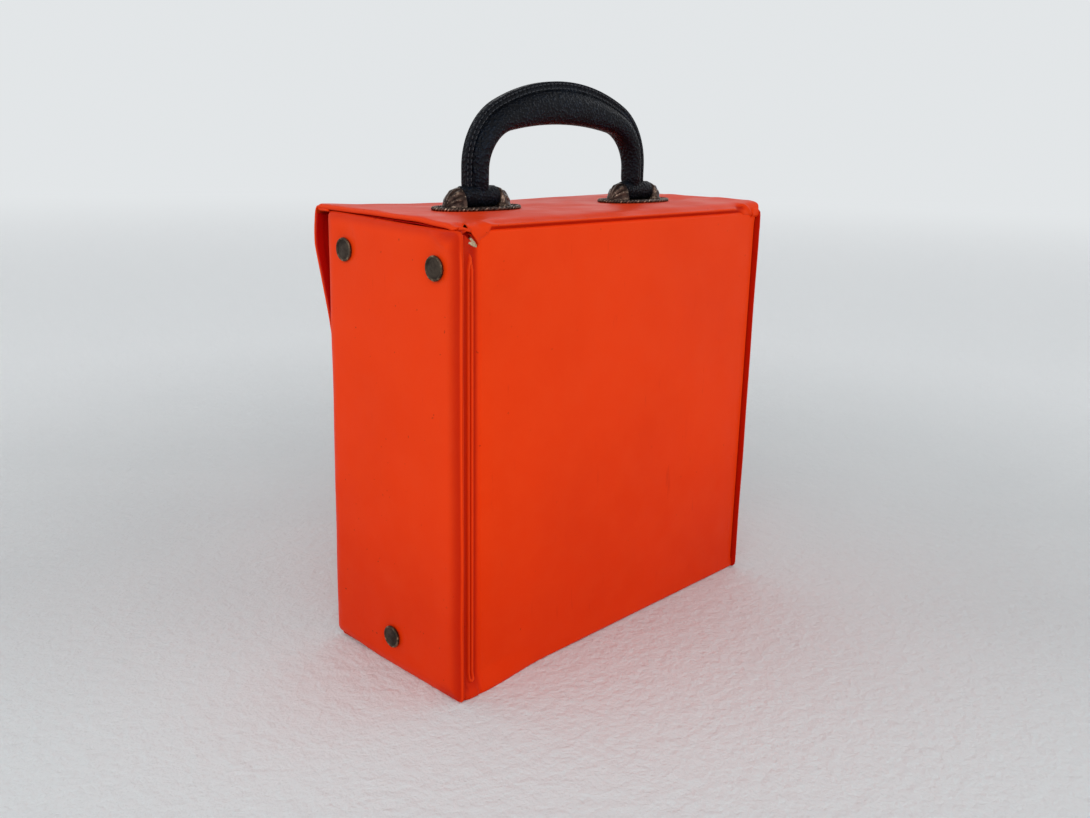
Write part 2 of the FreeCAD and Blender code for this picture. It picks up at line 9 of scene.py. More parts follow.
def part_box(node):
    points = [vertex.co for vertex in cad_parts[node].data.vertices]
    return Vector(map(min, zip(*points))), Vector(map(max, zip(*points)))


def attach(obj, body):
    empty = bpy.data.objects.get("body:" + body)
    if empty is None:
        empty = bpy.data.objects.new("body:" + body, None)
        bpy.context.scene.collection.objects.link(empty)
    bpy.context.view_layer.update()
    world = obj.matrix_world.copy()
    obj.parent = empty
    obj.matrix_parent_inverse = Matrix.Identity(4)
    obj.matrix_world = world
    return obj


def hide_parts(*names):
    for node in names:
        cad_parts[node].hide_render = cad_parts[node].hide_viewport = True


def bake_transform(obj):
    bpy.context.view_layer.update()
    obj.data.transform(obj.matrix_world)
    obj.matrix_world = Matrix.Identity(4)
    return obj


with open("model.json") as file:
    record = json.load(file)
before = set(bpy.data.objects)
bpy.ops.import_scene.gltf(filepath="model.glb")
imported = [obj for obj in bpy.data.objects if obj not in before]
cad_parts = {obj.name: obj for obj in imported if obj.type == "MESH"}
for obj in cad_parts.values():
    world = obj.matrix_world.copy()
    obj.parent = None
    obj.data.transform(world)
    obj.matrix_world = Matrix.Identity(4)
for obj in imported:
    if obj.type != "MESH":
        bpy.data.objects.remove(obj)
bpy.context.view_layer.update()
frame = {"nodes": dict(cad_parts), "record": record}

# Everything below is worked out in millimetres; meshes are scaled to metres when they are made.
MM = 0.001


def corners(node):
    """Lowest and highest corner of a CAD node, in millimetres."""
    low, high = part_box(node)
    return low / MM, high / MM


def new_object(name, data):
    made = bpy.data.objects.new(name, data)
    bpy.context.scene.collection.objects.link(made)
    return made


# Camera, first: it looks at a point in the middle of the case from behind its right end

CAMERA_TARGET = Vector((10.55, 0.2, 125.65))
CAMERA_TURN = math.radians(46.03)  # from the back (+Y) towards the right end (+X)
CAMERA_RISE = math.radians(15.09)
CAMERA_ROLL = math.radians(1.10)
CAMERA_DISTANCE = 603.8
CAMERA_LENS = 33.38
CAMERA_SENSOR = 36.0


def make_camera():
    away = Vector((math.sin(CAMERA_TURN) * math.cos(CAMERA_RISE),
                   math.cos(CAMERA_TURN) * math.cos(CAMERA_RISE),
                   math.sin(CAMERA_RISE)))
    level = (-away).cross(Vector((0, 0, 1))).normalized()
    upright = level.cross(-away)
    right = math.cos(CAMERA_ROLL) * level + math.sin(CAMERA_ROLL) * upright
    up = math.cos(CAMERA_ROLL) * upright - math.sin(CAMERA_ROLL) * level
    data = bpy.data.cameras.new("camera")
    data.lens = CAMERA_LENS
    data.sensor_width = CAMERA_SENSOR
    camera = new_object("camera", data)
    place = (CAMERA_TARGET + CAMERA_DISTANCE * away) * MM
    turn = Matrix((right, up, away)).transposed().to_4x4()
    camera.matrix_world = Matrix.Translation(place) @ turn
    bpy.context.scene.camera = camera


make_camera()

# Sizes taken from the frame

wall_high = corners("wall_skin")[1]
end_low, end_high = corners("right_end_skin")
lid_low, lid_high = corners("lid_skin")
lid_lining_low = corners("lid_lining")[0]
flap_low, flap_high = corners("flap_skin")
fitting_low, fitting_high = corners("right_fitting")
bar_low, bar_high = corners("right_fitting_bar")

VINYL_THICKNESS = 0.6
WALL_FACE = wall_high.y  # outer face of the padded back wall
WALL_TOP = wall_high.z
WALL_END = wall_high.x  # end of the welded strips
FLANGE_EDGE = end_high.y  # free edge of the end panels' flanges
FLANGE_BACK = end_low.x
FLANGE_FACE = FLANGE_BACK + VINYL_THICKNESS
PAD_FACE = end_high.x
FITTING_X = (fitting_low.x + fitting_high.x) / 2
BAR_Z = (bar_low.z + bar_high.z) / 2
PLATE_BOTTOM = fitting_low.z


# Small maths


def smooth(value, low, high):
    """0 below low, 1 above high, with a soft rise between."""
    t = np.clip((np.asarray(value, float) - low) / (high - low), 0.0, 1.0)
    return t * t * (3 - 2 * t)


def fade(value, low, high):
    """1 below low, 0 above high, with a soft fall between."""
    return 1 - smooth(value, low, high)


def eased(value, table):
    """Value read from (position, height) pairs, with soft steps between them."""
    value = np.asarray(value, float)
    result = np.full(value.shape, float(table[0][1]))
    for (low, before), (high, after) in zip(table, table[1:]):
        result = result + (after - before) * smooth(value, low, high)
    return result


def waves(a, b, length, seed):
    """Gentle unevenness between about -1 and 1, over distances of about length."""
    total = np.zeros(np.broadcast(a, b).shape)
    for k in range(1, 5):
        turn = 1.7 * seed + 2.4 * k
        along = np.asarray(a) * math.cos(turn) + np.asarray(b) * math.sin(turn)
        total = total + np.sin(along * k * 2.1 / length + seed * k) / k
    return total / 2


def steps(start, stop, size):
    """Evenly spaced values from start to stop, about size apart."""
    count = max(1, round(abs(stop - start) / size))
    return list(np.linspace(start, stop, count + 1))


def chain(*runs):
    """One list from several, each starting where the last one ended."""
    whole = list(runs[0])
    for run in runs[1:]:
        whole += list(run)[1:]
    return np.array(whole, float)


# Materials

HORIZON = (0.765, 0.79, 0.805, 1)  # colour of the backdrop, which the far floor runs into


def add(tree, kind, inputs=None, **settings):
    """A shader node with its settings, and values or links for its inputs."""
    node = tree.nodes.new(kind)
    for key, value in settings.items():
        setattr(node, key, value)
    for key, value in (inputs or {}).items():
        if isinstance(value, bpy.types.NodeSocket):
            tree.links.new(value, node.inputs[key])
        else:
            node.inputs[key].default_value = value
    return node


def ramp(tree, value, low, high):
    """Value mapped so that low gives 0 and high gives 1, softly."""
    node = add(tree, "ShaderNodeMapRange", {"Value": value, "From Min": low, "From Max": high},
               interpolation_type="SMOOTHSTEP")
    return node.outputs["Result"]


def mix(tree, share, first, second):
    node = add(tree, "ShaderNodeMix", {0: share, 6: first, 7: second}, data_type="RGBA")
    return node.outputs[2]


def maths(tree, operation, first, second):
    return add(tree, "ShaderNodeMath", {0: first, 1: second}, operation=operation).outputs[0]


def times(tree, first, second):
    return maths(tree, "MULTIPLY", first, second)


def tinted(tree, tone, colour, where, share):
    """A tone mixed towards a colour, by a share of where it applies."""
    return mix(tree, times(tree, where, share), tone, colour)


def between(tree, value, low, high):
    """A 0 to 1 value spread from low to high."""
    node = add(tree, "ShaderNodeMapRange", {"Value": value, "To Min": low, "To Max": high})
    return node.outputs["Result"]


def noise(tree, where, scale, detail=2.0, roughness=0.5):
    node = add(tree, "ShaderNodeTexNoise",
               {"Vector": where, "Scale": scale, "Detail": detail, "Roughness": roughness})
    return node.outputs["Fac"]


def stretched(tree, where, scale):
    node = add(tree, "ShaderNodeMapping", {"Vector": where, "Scale": scale})
    return node.outputs["Vector"]


def attribute(tree, name):
    return add(tree, "ShaderNodeAttribute", attribute_name=name).outputs["Fac"]


def start_material(name):
    material = bpy.data.materials.new(name)
    material.use_nodes = True
    tree = material.node_tree
    tree.nodes.clear()
    where = add(tree, "ShaderNodeTexCoord").outputs["Object"]
    return material, tree, where


def end_material(tree, colour, roughness, bumps, **sockets):
    """Principled shader with a stack of bumps, each as (height, distance in millimetres)."""
    inputs = {"Base Color": colour, "Roughness": roughness}
    normal = None
    for height, distance in bumps:
        bump = {"Height": height, "Distance": distance * MM, "Strength": 1.0}
        if normal is not None:
            bump["Normal"] = normal
        normal = add(tree, "ShaderNodeBump", bump).outputs["Normal"]
    inputs["Normal"] = normal
    for key, value in sockets.items():
        inputs[key.replace("_", " ")] = value
    shader = add(tree, "ShaderNodeBsdfPrincipled", inputs)
    add(tree, "ShaderNodeOutputMaterial", {"Surface": shader.outputs["BSDF"]})


def vinyl_material(name, main, deep, lighter):
    """Softly grained vinyl, scuffed a little and uneven in tone; lighter towards the top as painted
    light, darker towards the bottom and in its creases as painted shade, and lighter on edges and
    ridges from wear and painted highlight.
    """
    material, tree, where = start_material(name)
    cloud = ramp(tree, noise(tree, where, 9.0, 3.0), 0.3, 0.7)
    mottle = ramp(tree, noise(tree, where, 60.0, 4.0, 0.6), 0.35, 0.75)
    tone = tinted(tree, main, deep, cloud, 0.16)
    tone = tinted(tree, tone, lighter, mottle, 0.12)
    # Lighter towards the top and darker towards the bottom: painted light from above and painted shade
    # low down.
    rise = add(tree, "ShaderNodeSeparateXYZ", {"Vector": where}).outputs["Z"]
    fade = ramp(tree, rise, 0.0, 0.25)
    tone = tinted(tree, tone, lighter, fade, 0.2)
    tone = tinted(tree, tone, deep, ramp(tree, rise, 0.13, 0.0), 0.22)
    # Painted shade in valleys, grooves, recesses and under edges, towards the deep colour.
    tone = mix(tree, attribute(tree, "painted_shade"), tone, deep)
    # Lighter on edges and ridges: wear and painted highlight.
    tone = tinted(tree, tone, lighter, attribute(tree, "wear_and_highlight"), 0.5)
    speck = ramp(tree, noise(tree, where, 420.0, 1.0), 0.77, 0.8)
    tone = tinted(tree, tone, (0.12, 0.01, 0.003, 1), speck, 0.45)
    marks = noise(tree, stretched(tree, where, (1.0, 1.0, 0.12)), 260.0, 3.0, 0.7)
    scuff = ramp(tree, marks, 0.66, 0.76)
    tone = tinted(tree, tone, deep, scuff, 0.18)
    gloss = ramp(tree, noise(tree, where, 35.0, 4.0), 0.3, 0.7)
    roughness = between(tree, gloss, 0.36, 0.5)
    grain = noise(tree, where, 1500.0, 2.0)
    ripple = noise(tree, where, 90.0, 2.0)
    end_material(tree, tone, roughness, [(ripple, 0.22), (grain, 0.035)],
                 Specular_IOR_Level=0.06)
    return material


def leather_material(name, colour, glint):
    """Black pebbled leathercloth, a little polished on the high spots, with painted shade between the
    pebbles and patches of a lighter, bluer painted glint.
    """
    material, tree, where = start_material(name)
    wobble = add(tree, "ShaderNodeTexNoise", {"Vector": where, "Scale": 500.0}).outputs["Color"]
    bent = add(tree, "ShaderNodeMixRGB", {"Fac": 0.0008, "Color1": where, "Color2": wobble})
    cells = add(tree, "ShaderNodeTexVoronoi", {"Vector": bent.outputs["Color"], "Scale": 700.0},
                feature="SMOOTH_F1")
    pebble = ramp(tree, cells.outputs["Distance"], 0.1, 0.62)
    fine = noise(tree, where, 1900.0, 2.0)
    # Patches of a lighter, bluer colour: painted glint.
    patch = ramp(tree, noise(tree, where, 45.0, 3.0), 0.4, 0.7)
    tone = mix(tree, patch, colour, glint)
    # Darker between the pebbles: painted shade in the grain's hollows.
    tone = tinted(tree, tone, (0.002, 0.002, 0.003, 1), pebble, 0.8)
    shine = between(tree, pebble, 0.3, 0.6)
    down = maths(tree, "SUBTRACT", 1.0, pebble)
    end_material(tree, tone, shine, [(down, 0.45), (fine, 0.06)], Specular_IOR_Level=0.14)
    return material


def metal_material(name, dark, middle, bright, shine, grime=0.6):
    """Old plated metal: dark patina in the hollows; lighter bare metal from wear, with painted
    highlight on the same rims, ridges and rope lobes.
    """
    material, tree, where = start_material(name)
    patch = ramp(tree, noise(tree, where, 170.0, 4.0, 0.65), 0.35, 0.65)
    fleck = ramp(tree, noise(tree, where, 620.0, 3.0, 0.6), 0.5, 0.66)
    tone = mix(tree, patch, dark, middle)
    # Lighter towards the bright colour on rims, ridges and rope lobes: bare metal from wear, and
    # painted highlight.
    rubbed_and_lit = attribute(tree, "wear_and_highlight")
    tone = mix(tree, times(tree, fleck, grime), tone, dark)
    lighter = between(tree, fleck, 0.08, 0.9)
    tone = tinted(tree, tone, bright, rubbed_and_lit, lighter)
    # Darker by the painted shade attribute used on the vinyl; the metal parts here are given none.
    tone = mix(tree, attribute(tree, "painted_shade"), tone, (0.012, 0.008, 0.006, 1))
    roughness = between(tree, patch, shine + 0.2, shine)
    pits = noise(tree, where, 900.0, 3.0)
    dents = noise(tree, where, 240.0, 2.0)
    end_material(tree, tone, roughness, [(dents, 0.12), (pits, 0.05)], Metallic=0.85)
    return material


def board_material(name, colour, shade):
    """Raw fibreboard: short fibres and a mottled tan colour."""
    material, tree, where = start_material(name)
    fibres = noise(tree, stretched(tree, where, (0.3, 1.0, 1.0)), 700.0, 4.0, 0.7)
    tone = mix(tree, ramp(tree, fibres, 0.35, 0.7), colour, shade)
    tone = mix(tree, times(tree, ramp(tree, noise(tree, where, 40.0), 0.4, 0.7), 0.3), tone, shade)
    end_material(tree, tone, 0.85, [(fibres, 0.2)])
    return material


def thread_material(name, colour, light):
    """Twisted sewing thread, lighter on the twist's crests as painted highlight and darker in its
    grooves as painted shade.
    """
    material, tree, where = start_material(name)
    twist = add(tree, "ShaderNodeTexWave", {"Vector": where, "Scale": 900.0, "Distortion": 1.0},
                bands_direction="DIAGONAL").outputs["Fac"]
    # Painted highlight on the twist's crests, painted shade in its grooves.
    tone = mix(tree, twist, colour, light)
    end_material(tree, tone, 0.55, [(twist, 0.06)])
    return material


def floor_material(name):
    """Painted plaster, pale and slightly uneven, with painted light on the lamp's side and painted
    shade near the case.
    """
    material, tree, where = start_material(name)
    cloud = ramp(tree, noise(tree, where, 6.0, 2.0), 0.3, 0.7)
    near = mix(tree, cloud, (0.690, 0.715, 0.720, 1), (0.715, 0.738, 0.742, 1))
    # Lighter towards +X and +Y, the side of the lamp and the camera: painted light on the floor.
    spot = add(tree, "ShaderNodeSeparateXYZ", {"Vector": where})
    behind = maths(tree, "ADD", spot.outputs["X"], spot.outputs["Y"])
    near = mix(tree, ramp(tree, behind, -0.02, 0.3), near, (0.80, 0.845, 0.85, 1))
    # Lighter further from the case, darker within about a metre of it: painted shade round the case.
    away = add(tree, "ShaderNodeVectorMath", {0: where}, operation="LENGTH").outputs["Value"]
    tone = mix(tree, ramp(tree, away, 0.25, 0.95), near, (0.93, 0.95, 0.955, 1))
    fine = noise(tree, where, 420.0, 5.0, 0.6)
    lumps = noise(tree, where, 130.0, 3.0)
    end_material(tree, tone, 0.75, [(lumps, 1.5), (fine, 0.6)])
    output = next(node for node in tree.nodes if node.type == "OUTPUT_MATERIAL")
    painted = output.inputs["Surface"].links[0].from_socket
    backdrop = add(tree, "ShaderNodeEmission", {"Color": HORIZON})
    meet = add(tree, "ShaderNodeMixShader", {0: ramp(tree, away, 0.9, 4.5), 1: painted,
                                             2: backdrop.outputs["Emission"]})
    tree.links.new(meet.outputs[0], output.inputs["Surface"])
    return material


VINYL = vinyl_material("vinyl", (0.90, 0.043, 0.0005, 1), (0.45, 0.006, 0.0, 1),
                       (0.95, 0.085, 0.014, 1))
LINING = vinyl_material("lining", (0.56, 0.003, 0.001, 1), (0.30, 0.001, 0.001, 1),
                        (0.62, 0.010, 0.004, 1))
LEATHER = leather_material("leather", (0.0025, 0.0045, 0.009, 1), (0.005, 0.010, 0.020, 1))
BRONZE = metal_material("bronze", (0.014, 0.007, 0.006, 1), (0.085, 0.048, 0.036, 1),
                        (0.72, 0.52, 0.38, 1), 0.28, 0.5)
PATINA = metal_material("patina", (0.030, 0.020, 0.014, 1), (0.070, 0.050, 0.036, 1),
                        (0.34, 0.24, 0.14, 1), 0.42, 0.4)
BRASS = metal_material("brass", (0.20, 0.13, 0.05, 1), (0.50, 0.36, 0.16, 1),
                       (0.75, 0.58, 0.32, 1), 0.3)
STEEL = metal_material("steel", (0.22, 0.21, 0.20, 1), (0.46, 0.45, 0.43, 1),
                       (0.7, 0.7, 0.68, 1), 0.3)
BOARD = board_material("board", (0.78, 0.66, 0.44, 1), (0.50, 0.38, 0.22, 1))
THREAD = thread_material("thread", (0.006, 0.007, 0.010, 1), (0.024, 0.028, 0.036, 1))

CAD_FINISHES = {"lining": LINING, "board": BOARD, "bronze": PATINA, "brass": BRASS, "steel": STEEL,
                "vinyl": VINYL, "leather": LEATHER}


def finish_cad_nodes():
    """Every CAD node gets the finish of its slot in the record."""
    for part in frame["record"]["subparts"]:
        materials = frame["nodes"][part["node"]].data.materials
        materials.clear()
        materials.append(CAD_FINISHES[part["material_slot"]])


# Meshes


def make_object(name, points, faces, material, attributes=None, thickness=0.0, flip=False):
    """Smooth-shaded mesh from points in millimetres; a thickness grows it inwards into a sheet."""
    mesh = bpy.data.meshes.new(name)
    if flip:
        faces = [face[::-1] for face in faces]
    mesh.from_pydata([tuple(point) for point in np.asarray(points) * MM], [], faces)
    for key, values in (attributes or {}).items():
        layer = mesh.attributes.new(key, "FLOAT", "POINT")
        layer.data.foreach_set("value", np.asarray(values, np.float32).ravel())
    mesh.materials.append(material)
    mesh.polygons.foreach_set("use_smooth", [True] * len(mesh.polygons))
    piece = new_object(name, mesh)
    if thickness > 0:
        sheet = piece.modifiers.new("thickness", "SOLIDIFY")
        sheet.thickness = thickness * MM
        sheet.offset = -1
        apply_modifiers(piece)
    return piece


def apply_modifiers(piece):
    shown = piece.evaluated_get(bpy.context.evaluated_depsgraph_get())
    final = bpy.data.meshes.new_from_object(shown)
    piece.modifiers.clear()
    piece.data = final


def grid_faces(rows, cols, keep=None, around=False):
    """Quads of a grid of points; around joins the last column to the first."""
    faces = []
    for i in range(rows - 1):
        for j in range(cols if around else cols - 1):
            if keep is None or keep[i, j]:
                k = (j + 1) % cols
                faces.append((i * cols + j, i * cols + k, (i + 1) * cols + k, (i + 1) * cols + j))
    return faces


def make_sheet(name, x, y, z, material, attributes=None, thickness=0.0, keep=None, flip=False):
    """Sheet over a grid of coordinates."""
    points = np.stack([x, y, z], axis=-1).reshape(-1, 3)
    faces = grid_faces(x.shape[0], x.shape[1], keep)
    return make_object(name, points, faces, material, attributes, thickness, flip)


def joined_parts(parts):
    """Points, faces and values for wear and painted highlight of several (points, faces, values)
    meshes as one.
    """
    points, faces, wear_and_highlight = [], [], []
    for more_points, more_faces, more_wear_and_highlight in parts:
        start = sum(len(p) for p in points)
        points.append(np.asarray(more_points, float))
        faces += [tuple(i + start for i in face) for face in more_faces]
        wear_and_highlight.append(np.asarray(more_wear_and_highlight, float))
    return np.concatenate(points), faces, np.concatenate(wear_and_highlight)


# Case walls: one sheet from inside the back wall's top, down, under and up the front

ROLL_RADIUS = 1.6  # at the top of the walls
FOLD_RADIUS = 2.0  # at their foot
FINE_END = 102.0  # past this x the wall and lid have fine grids
FINE_TOP = 222.0  # above this height the wall has one too
FINE_FOOT = 16.0  # and below this height
FINE_ACROSS = 0.36
FINE_DOWN = 0.55
COARSE = 6.0

# The valley between the wall and each end's flange, as (x, depth) pairs
VALLEY = [(100.9, 0.0), (108.2, 0.4), (112.2, 2.0), (113.2, 2.1), (118.2, 1.9), (120.2, 2.9),
          (123.8, 2.6)]
LEFT_VALLEY = [(115, 0.0), (121.2, 0.4), (122.6, 1.2), (123.8, 2.2)]
INNER_VALLEY = 1.3  # the most depth where the sheet turns over the wall's top

# The looped weld bead in the right valley
BEAD_X = 115.4
BEAD_HALF_SPACING = 1.25
BEAD_BOTTOM = 9.7
BEAD_TOP = 228.6
BEAD_HEIGHT = 2.0
BEAD_WIDTH = 0.66

# The tear, from the lid's corner down towards the middle of the back, as (x, z) points
TEAR_TOP = (120.5, 244.0)
TEAR_FOOT = (110.2, 232.9)
TEAR_TIP = 1.0  # width at its foot
TEAR_SPREAD = 2.8  # and how much wider it is at its top

# How far the wall swells at its lower right corner, stands out under the bead, bows in its middle
# and is uneven
CORNER_BULGE = 3.3
BEAD_BOSS = 0.7
PILLOW = 0.35
WALL_UNEVEN = 0.22


def wall_path():
    """Points (y, z) with outward normals along the back half of the strip."""
    rows = []
    centre_y = WALL_FACE - ROLL_RADIUS
    centre_z = WALL_TOP - ROLL_RADIUS
    for angle in np.linspace(math.pi, 0, 11):
        c, s = math.cos(angle), math.sin(angle)
        rows.append((centre_y + ROLL_RADIUS * c, centre_z + ROLL_RADIUS * s, c, s))
    down = chain(steps(centre_z, FINE_TOP, FINE_DOWN), steps(FINE_TOP, FINE_FOOT, COARSE),
                 steps(FINE_FOOT, FOLD_RADIUS, 0.6))
    rows += [(WALL_FACE, z, 1.0, 0.0) for z in down[1:]]
    for angle in np.linspace(0, -math.pi / 2, 10)[1:]:
        c, s = math.cos(angle), math.sin(angle)
        rows.append((WALL_FACE - FOLD_RADIUS * (1 - c), FOLD_RADIUS * (1 + s), c, s))
    rows += [(y, 0.0, 0.0, -1.0) for y in steps(WALL_FACE - FOLD_RADIUS, 0, 5)[1:]]
    return rows


def bead_height(x, z):
    """Height of the looped weld bead: round at the bottom, drawn to a point at the top."""
    across = x - BEAD_X
    below = np.maximum(0, BEAD_BOTTOM - z)
    half = BEAD_HALF_SPACING * fade(z, BEAD_TOP - 8, BEAD_TOP)
    off = np.hypot(across, below) - half
    return BEAD_HEIGHT * np.exp(-(off / BEAD_WIDTH) ** 2) * fade(z, BEAD_TOP - 1, BEAD_TOP + 2)


def tear_offset(x, z):
    """Distance below the line of the tear, and the share of the way along it."""
    line = np.array(TEAR_FOOT) - np.array(TEAR_TOP)
    length = np.hypot(*line)
    along = ((x - TEAR_TOP[0]) * line[0] + (z - TEAR_TOP[1]) * line[1]) / length ** 2
    below = ((z - TEAR_TOP[1]) * line[0] - (x - TEAR_TOP[0]) * line[1]) / length
    return below, along


def in_tear(x, z):
    """True inside the open lens of the tear."""
    below, along = tear_offset(x, z)
    width = TEAR_TIP + TEAR_SPREAD * np.clip(1.0 - along, 0, 1)
    return (below > -0.2) & (below < width) & (along > -0.1) & (along < 1.0)


def wall_depth(x, y, z, normal_y, valley):
    """How far the sheet lies below the flat wall; beads, the bulge and the pillow stand above it."""
    depth = valley * (1 - 0.5 * smooth(z, WALL_TOP - 9, WALL_TOP - 1))
    depth = np.where(np.abs(y) < WALL_FACE - 1, np.minimum(depth, INNER_VALLEY), depth)
    depth *= smooth(z, 1, 9) * 0.8 + 0.2
    bulge = CORNER_BULGE * smooth(x, 62, 112) * fade(x, 120.5, 123.5) * fade(z, 0, 14)
    boss = BEAD_BOSS * smooth(x, 112, 114) * fade(x, 119, 121) * smooth(z, 0, 2.5) * fade(z, 5, 7.5)
    depth -= (bulge + boss) * (normal_y > 0)
    depth -= np.where(z > 8, bead_height(x, z), 0)
    inner = smooth(np.abs(x), 122, 100)
    pillow = inner * np.sin(math.pi * np.clip(z / WALL_TOP, 0, 1)) ** 0.5
    on_wall = np.abs(normal_y) > 0.99
    return depth - PILLOW * pillow * on_wall - WALL_UNEVEN * waves(x, z, 60, 1) * inner * on_wall


def case_walls():
    half = wall_path()
    front = [(-y, z, -ny, nz) for y, z, ny, nz in half[-2::-1]]
    path = np.array(half + front)
    columns = chain(steps(-WALL_END, -FINE_END, FINE_ACROSS), steps(-FINE_END, FINE_END, COARSE),
                    steps(FINE_END, WALL_END, FINE_ACROSS))
    x, y = np.meshgrid(columns, path[:, 0])
    z = np.repeat(path[:, 1:2], len(columns), axis=1)
    normal_y = np.repeat(path[:, 2:3], len(columns), axis=1)
    normal_z = np.repeat(path[:, 3:4], len(columns), axis=1)
    valley = np.where(x > 0, eased(x, VALLEY), eased(-x, LEFT_VALLEY))
    depth = wall_depth(x, y, z, normal_y, valley)
    out_y = y - normal_y * depth
    out_z = np.maximum(z - normal_z * depth, 0)
    torn = in_tear(x, z) & (y > 0)
    keep = ~(torn[:-1, :-1] & torn[1:, 1:])
    # Painted shade in the valleys beside the end flanges, less on the weld bead and near the foot.
    painted_shade = smooth(valley, 1.0, 2.4) * 0.95 * fade(bead_height(x, z), 0.4, 1.2)
    painted_shade = painted_shade * (0.3 + 0.7 * smooth(z, 1, 12))
    # Lighter on the weld bead's ridges: wear and painted highlight.
    wear_and_highlight = smooth(bead_height(x, z), 0.9, 1.6) * 0.8
    piece = make_sheet("case_walls", x, out_y, out_z, VINYL, {"painted_shade": painted_shade, "wear_and_highlight": wear_and_highlight},
                       VINYL_THICKNESS, keep)
    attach(piece, "case")
    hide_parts("wall_skin")


def inner_board(name, node, axis, margin, gap):
    """Board inside a wall: its CAD outline less a margin, set back from its cover by a gap."""
    low, high = corners(node)
    across = [k for k in range(3) if k != axis]
    u, v = np.meshgrid(*[steps(low[k] + margin, high[k] - margin, COARSE) for k in across])
    outward = 1 if (low[axis] + high[axis]) > 0 else -1
    face = high[axis] if outward > 0 else low[axis]
    grid = [None, None, None]
    grid[across[0]] = u
    grid[across[1]] = v
    grid[axis] = np.full(u.shape, face - outward * gap) + 0.05 * waves(u, v, 25, 4)
    piece = make_sheet(name, grid[0], grid[1], grid[2], BOARD, {"painted_shade": 0 * u, "wear_and_highlight": 0 * u},
                       high[axis] - low[axis] - gap, flip=(outward > 0) == (axis == 1))
    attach(piece, "case")
    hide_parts(node)


# End panels: a padded face inside a flat welded flange, drawn for the right end

RING_WIDTH = 9.0  # the rim, which turns down to the flange
CORNER_STEPS = 9
CORNER_RADIUS = 3.0
PANEL_PROFILE = [(0.0, FLANGE_FACE - 0.3), (0.4, FLANGE_FACE + 0.1)]
PANEL_SHOULDER = 0.35
PANEL_INSETS = [0, 0.15, 0.4, 0.75, 1.1, 1.4, 1.7, 2.0, 2.3, 2.7, 3.2, 3.9, 4.8, 6.0, 7.4, 9.0]
RIVETS = [(39.6, 222.5), (-32.4, 225.0), (0.6, 18.6)]
RIVET_DIP = 0.45
FRONT_PULL = 2.2  # the panels' front edges are pulled in, more towards the top
FRONT_LEAN = 4.3
FRONT_RAISE = 2.2  # and stand a little off the ground
LEFT_PULL = 2.0  # the left panel's rear edge is pulled in as well
PUCKER = 0.8  # small pucker beside the panel's top rear corner
# Painted shade on the inside of each end's flange, heavier at the far (left) end.
LINER_SHADE = {1: 0.25, -1: 0.9}  # how dark the inside of each end's flange is


def corner_reach(angle):
    """Distance from the ring's inner corner to the panel's rounded outline, at an angle."""
    c, s = math.cos(angle), math.sin(angle)
    middle = RING_WIDTH - CORNER_RADIUS
    straight = RING_WIDTH / max(c, s)
    if min(c, s) * straight <= middle:
        return straight
    along = middle * (c + s)
    return along + math.sqrt(max(0.0, along ** 2 - 2 * middle ** 2 + CORNER_RADIUS ** 2))


def panel_grid():
    """Flat points (y, z) of the panel, each one's distance in from its edge, and its faces."""
    inner_y = FLANGE_EDGE - RING_WIDTH
    ys = steps(-inner_y, inner_y, 1.5)
    zs = steps(RING_WIDTH, WALL_TOP - RING_WIDTH, 2.0)
    count = len(ys)
    points = [(y, z) for z in zs for y in ys]
    inset = [RING_WIDTH] * len(points)
    faces = grid_faces(len(zs), count)
    last = len(zs) - 1
    rim = []

    def side(indices, direction):
        rim.extend((i, direction, RING_WIDTH) for i in indices)

    def corner(index, start):
        for k in range(1, CORNER_STEPS):
            share = k / CORNER_STEPS * math.pi / 2
            turn = start + share
            rim.append((index, (math.cos(turn), math.sin(turn)), corner_reach(share)))

    side(range(count), (0, -1))
    corner(count - 1, -math.pi / 2)
    side([k * count + count - 1 for k in range(last + 1)], (1, 0))
    corner(last * count + count - 1, 0)
    side([last * count + k for k in range(count - 1, -1, -1)], (0, 1))
    corner(last * count, math.pi / 2)
    side([k * count for k in range(last, -1, -1)], (-1, 0))
    corner(0, math.pi)
    previous = [index for index, _, _ in rim]
    for distance in PANEL_INSETS[-2::-1]:
        share = (RING_WIDTH - distance) / RING_WIDTH
        first = len(points)
        for index, (dy, dz), reach in rim:
            y, z = points[index]
            points.append((y + dy * reach * share, z + dz * reach * share))
            inset.append(distance)
        ring = list(range(first, len(points)))
        for k in range(len(ring)):
            n = (k + 1) % len(ring)
            face = [previous[k], ring[k], ring[n], previous[n]]
            faces.append(tuple(dict.fromkeys(face)))
        previous = ring
    return np.array(points), np.array(inset), faces


def panel_top(y, side):
    """How far the panel's top stands above the top of the walls."""
    if side > 0:
        return 0.5 + 2.9 * smooth(-y, -52, 58)
    return 1.6 + 0.9 * smooth(-y, -30, 50)


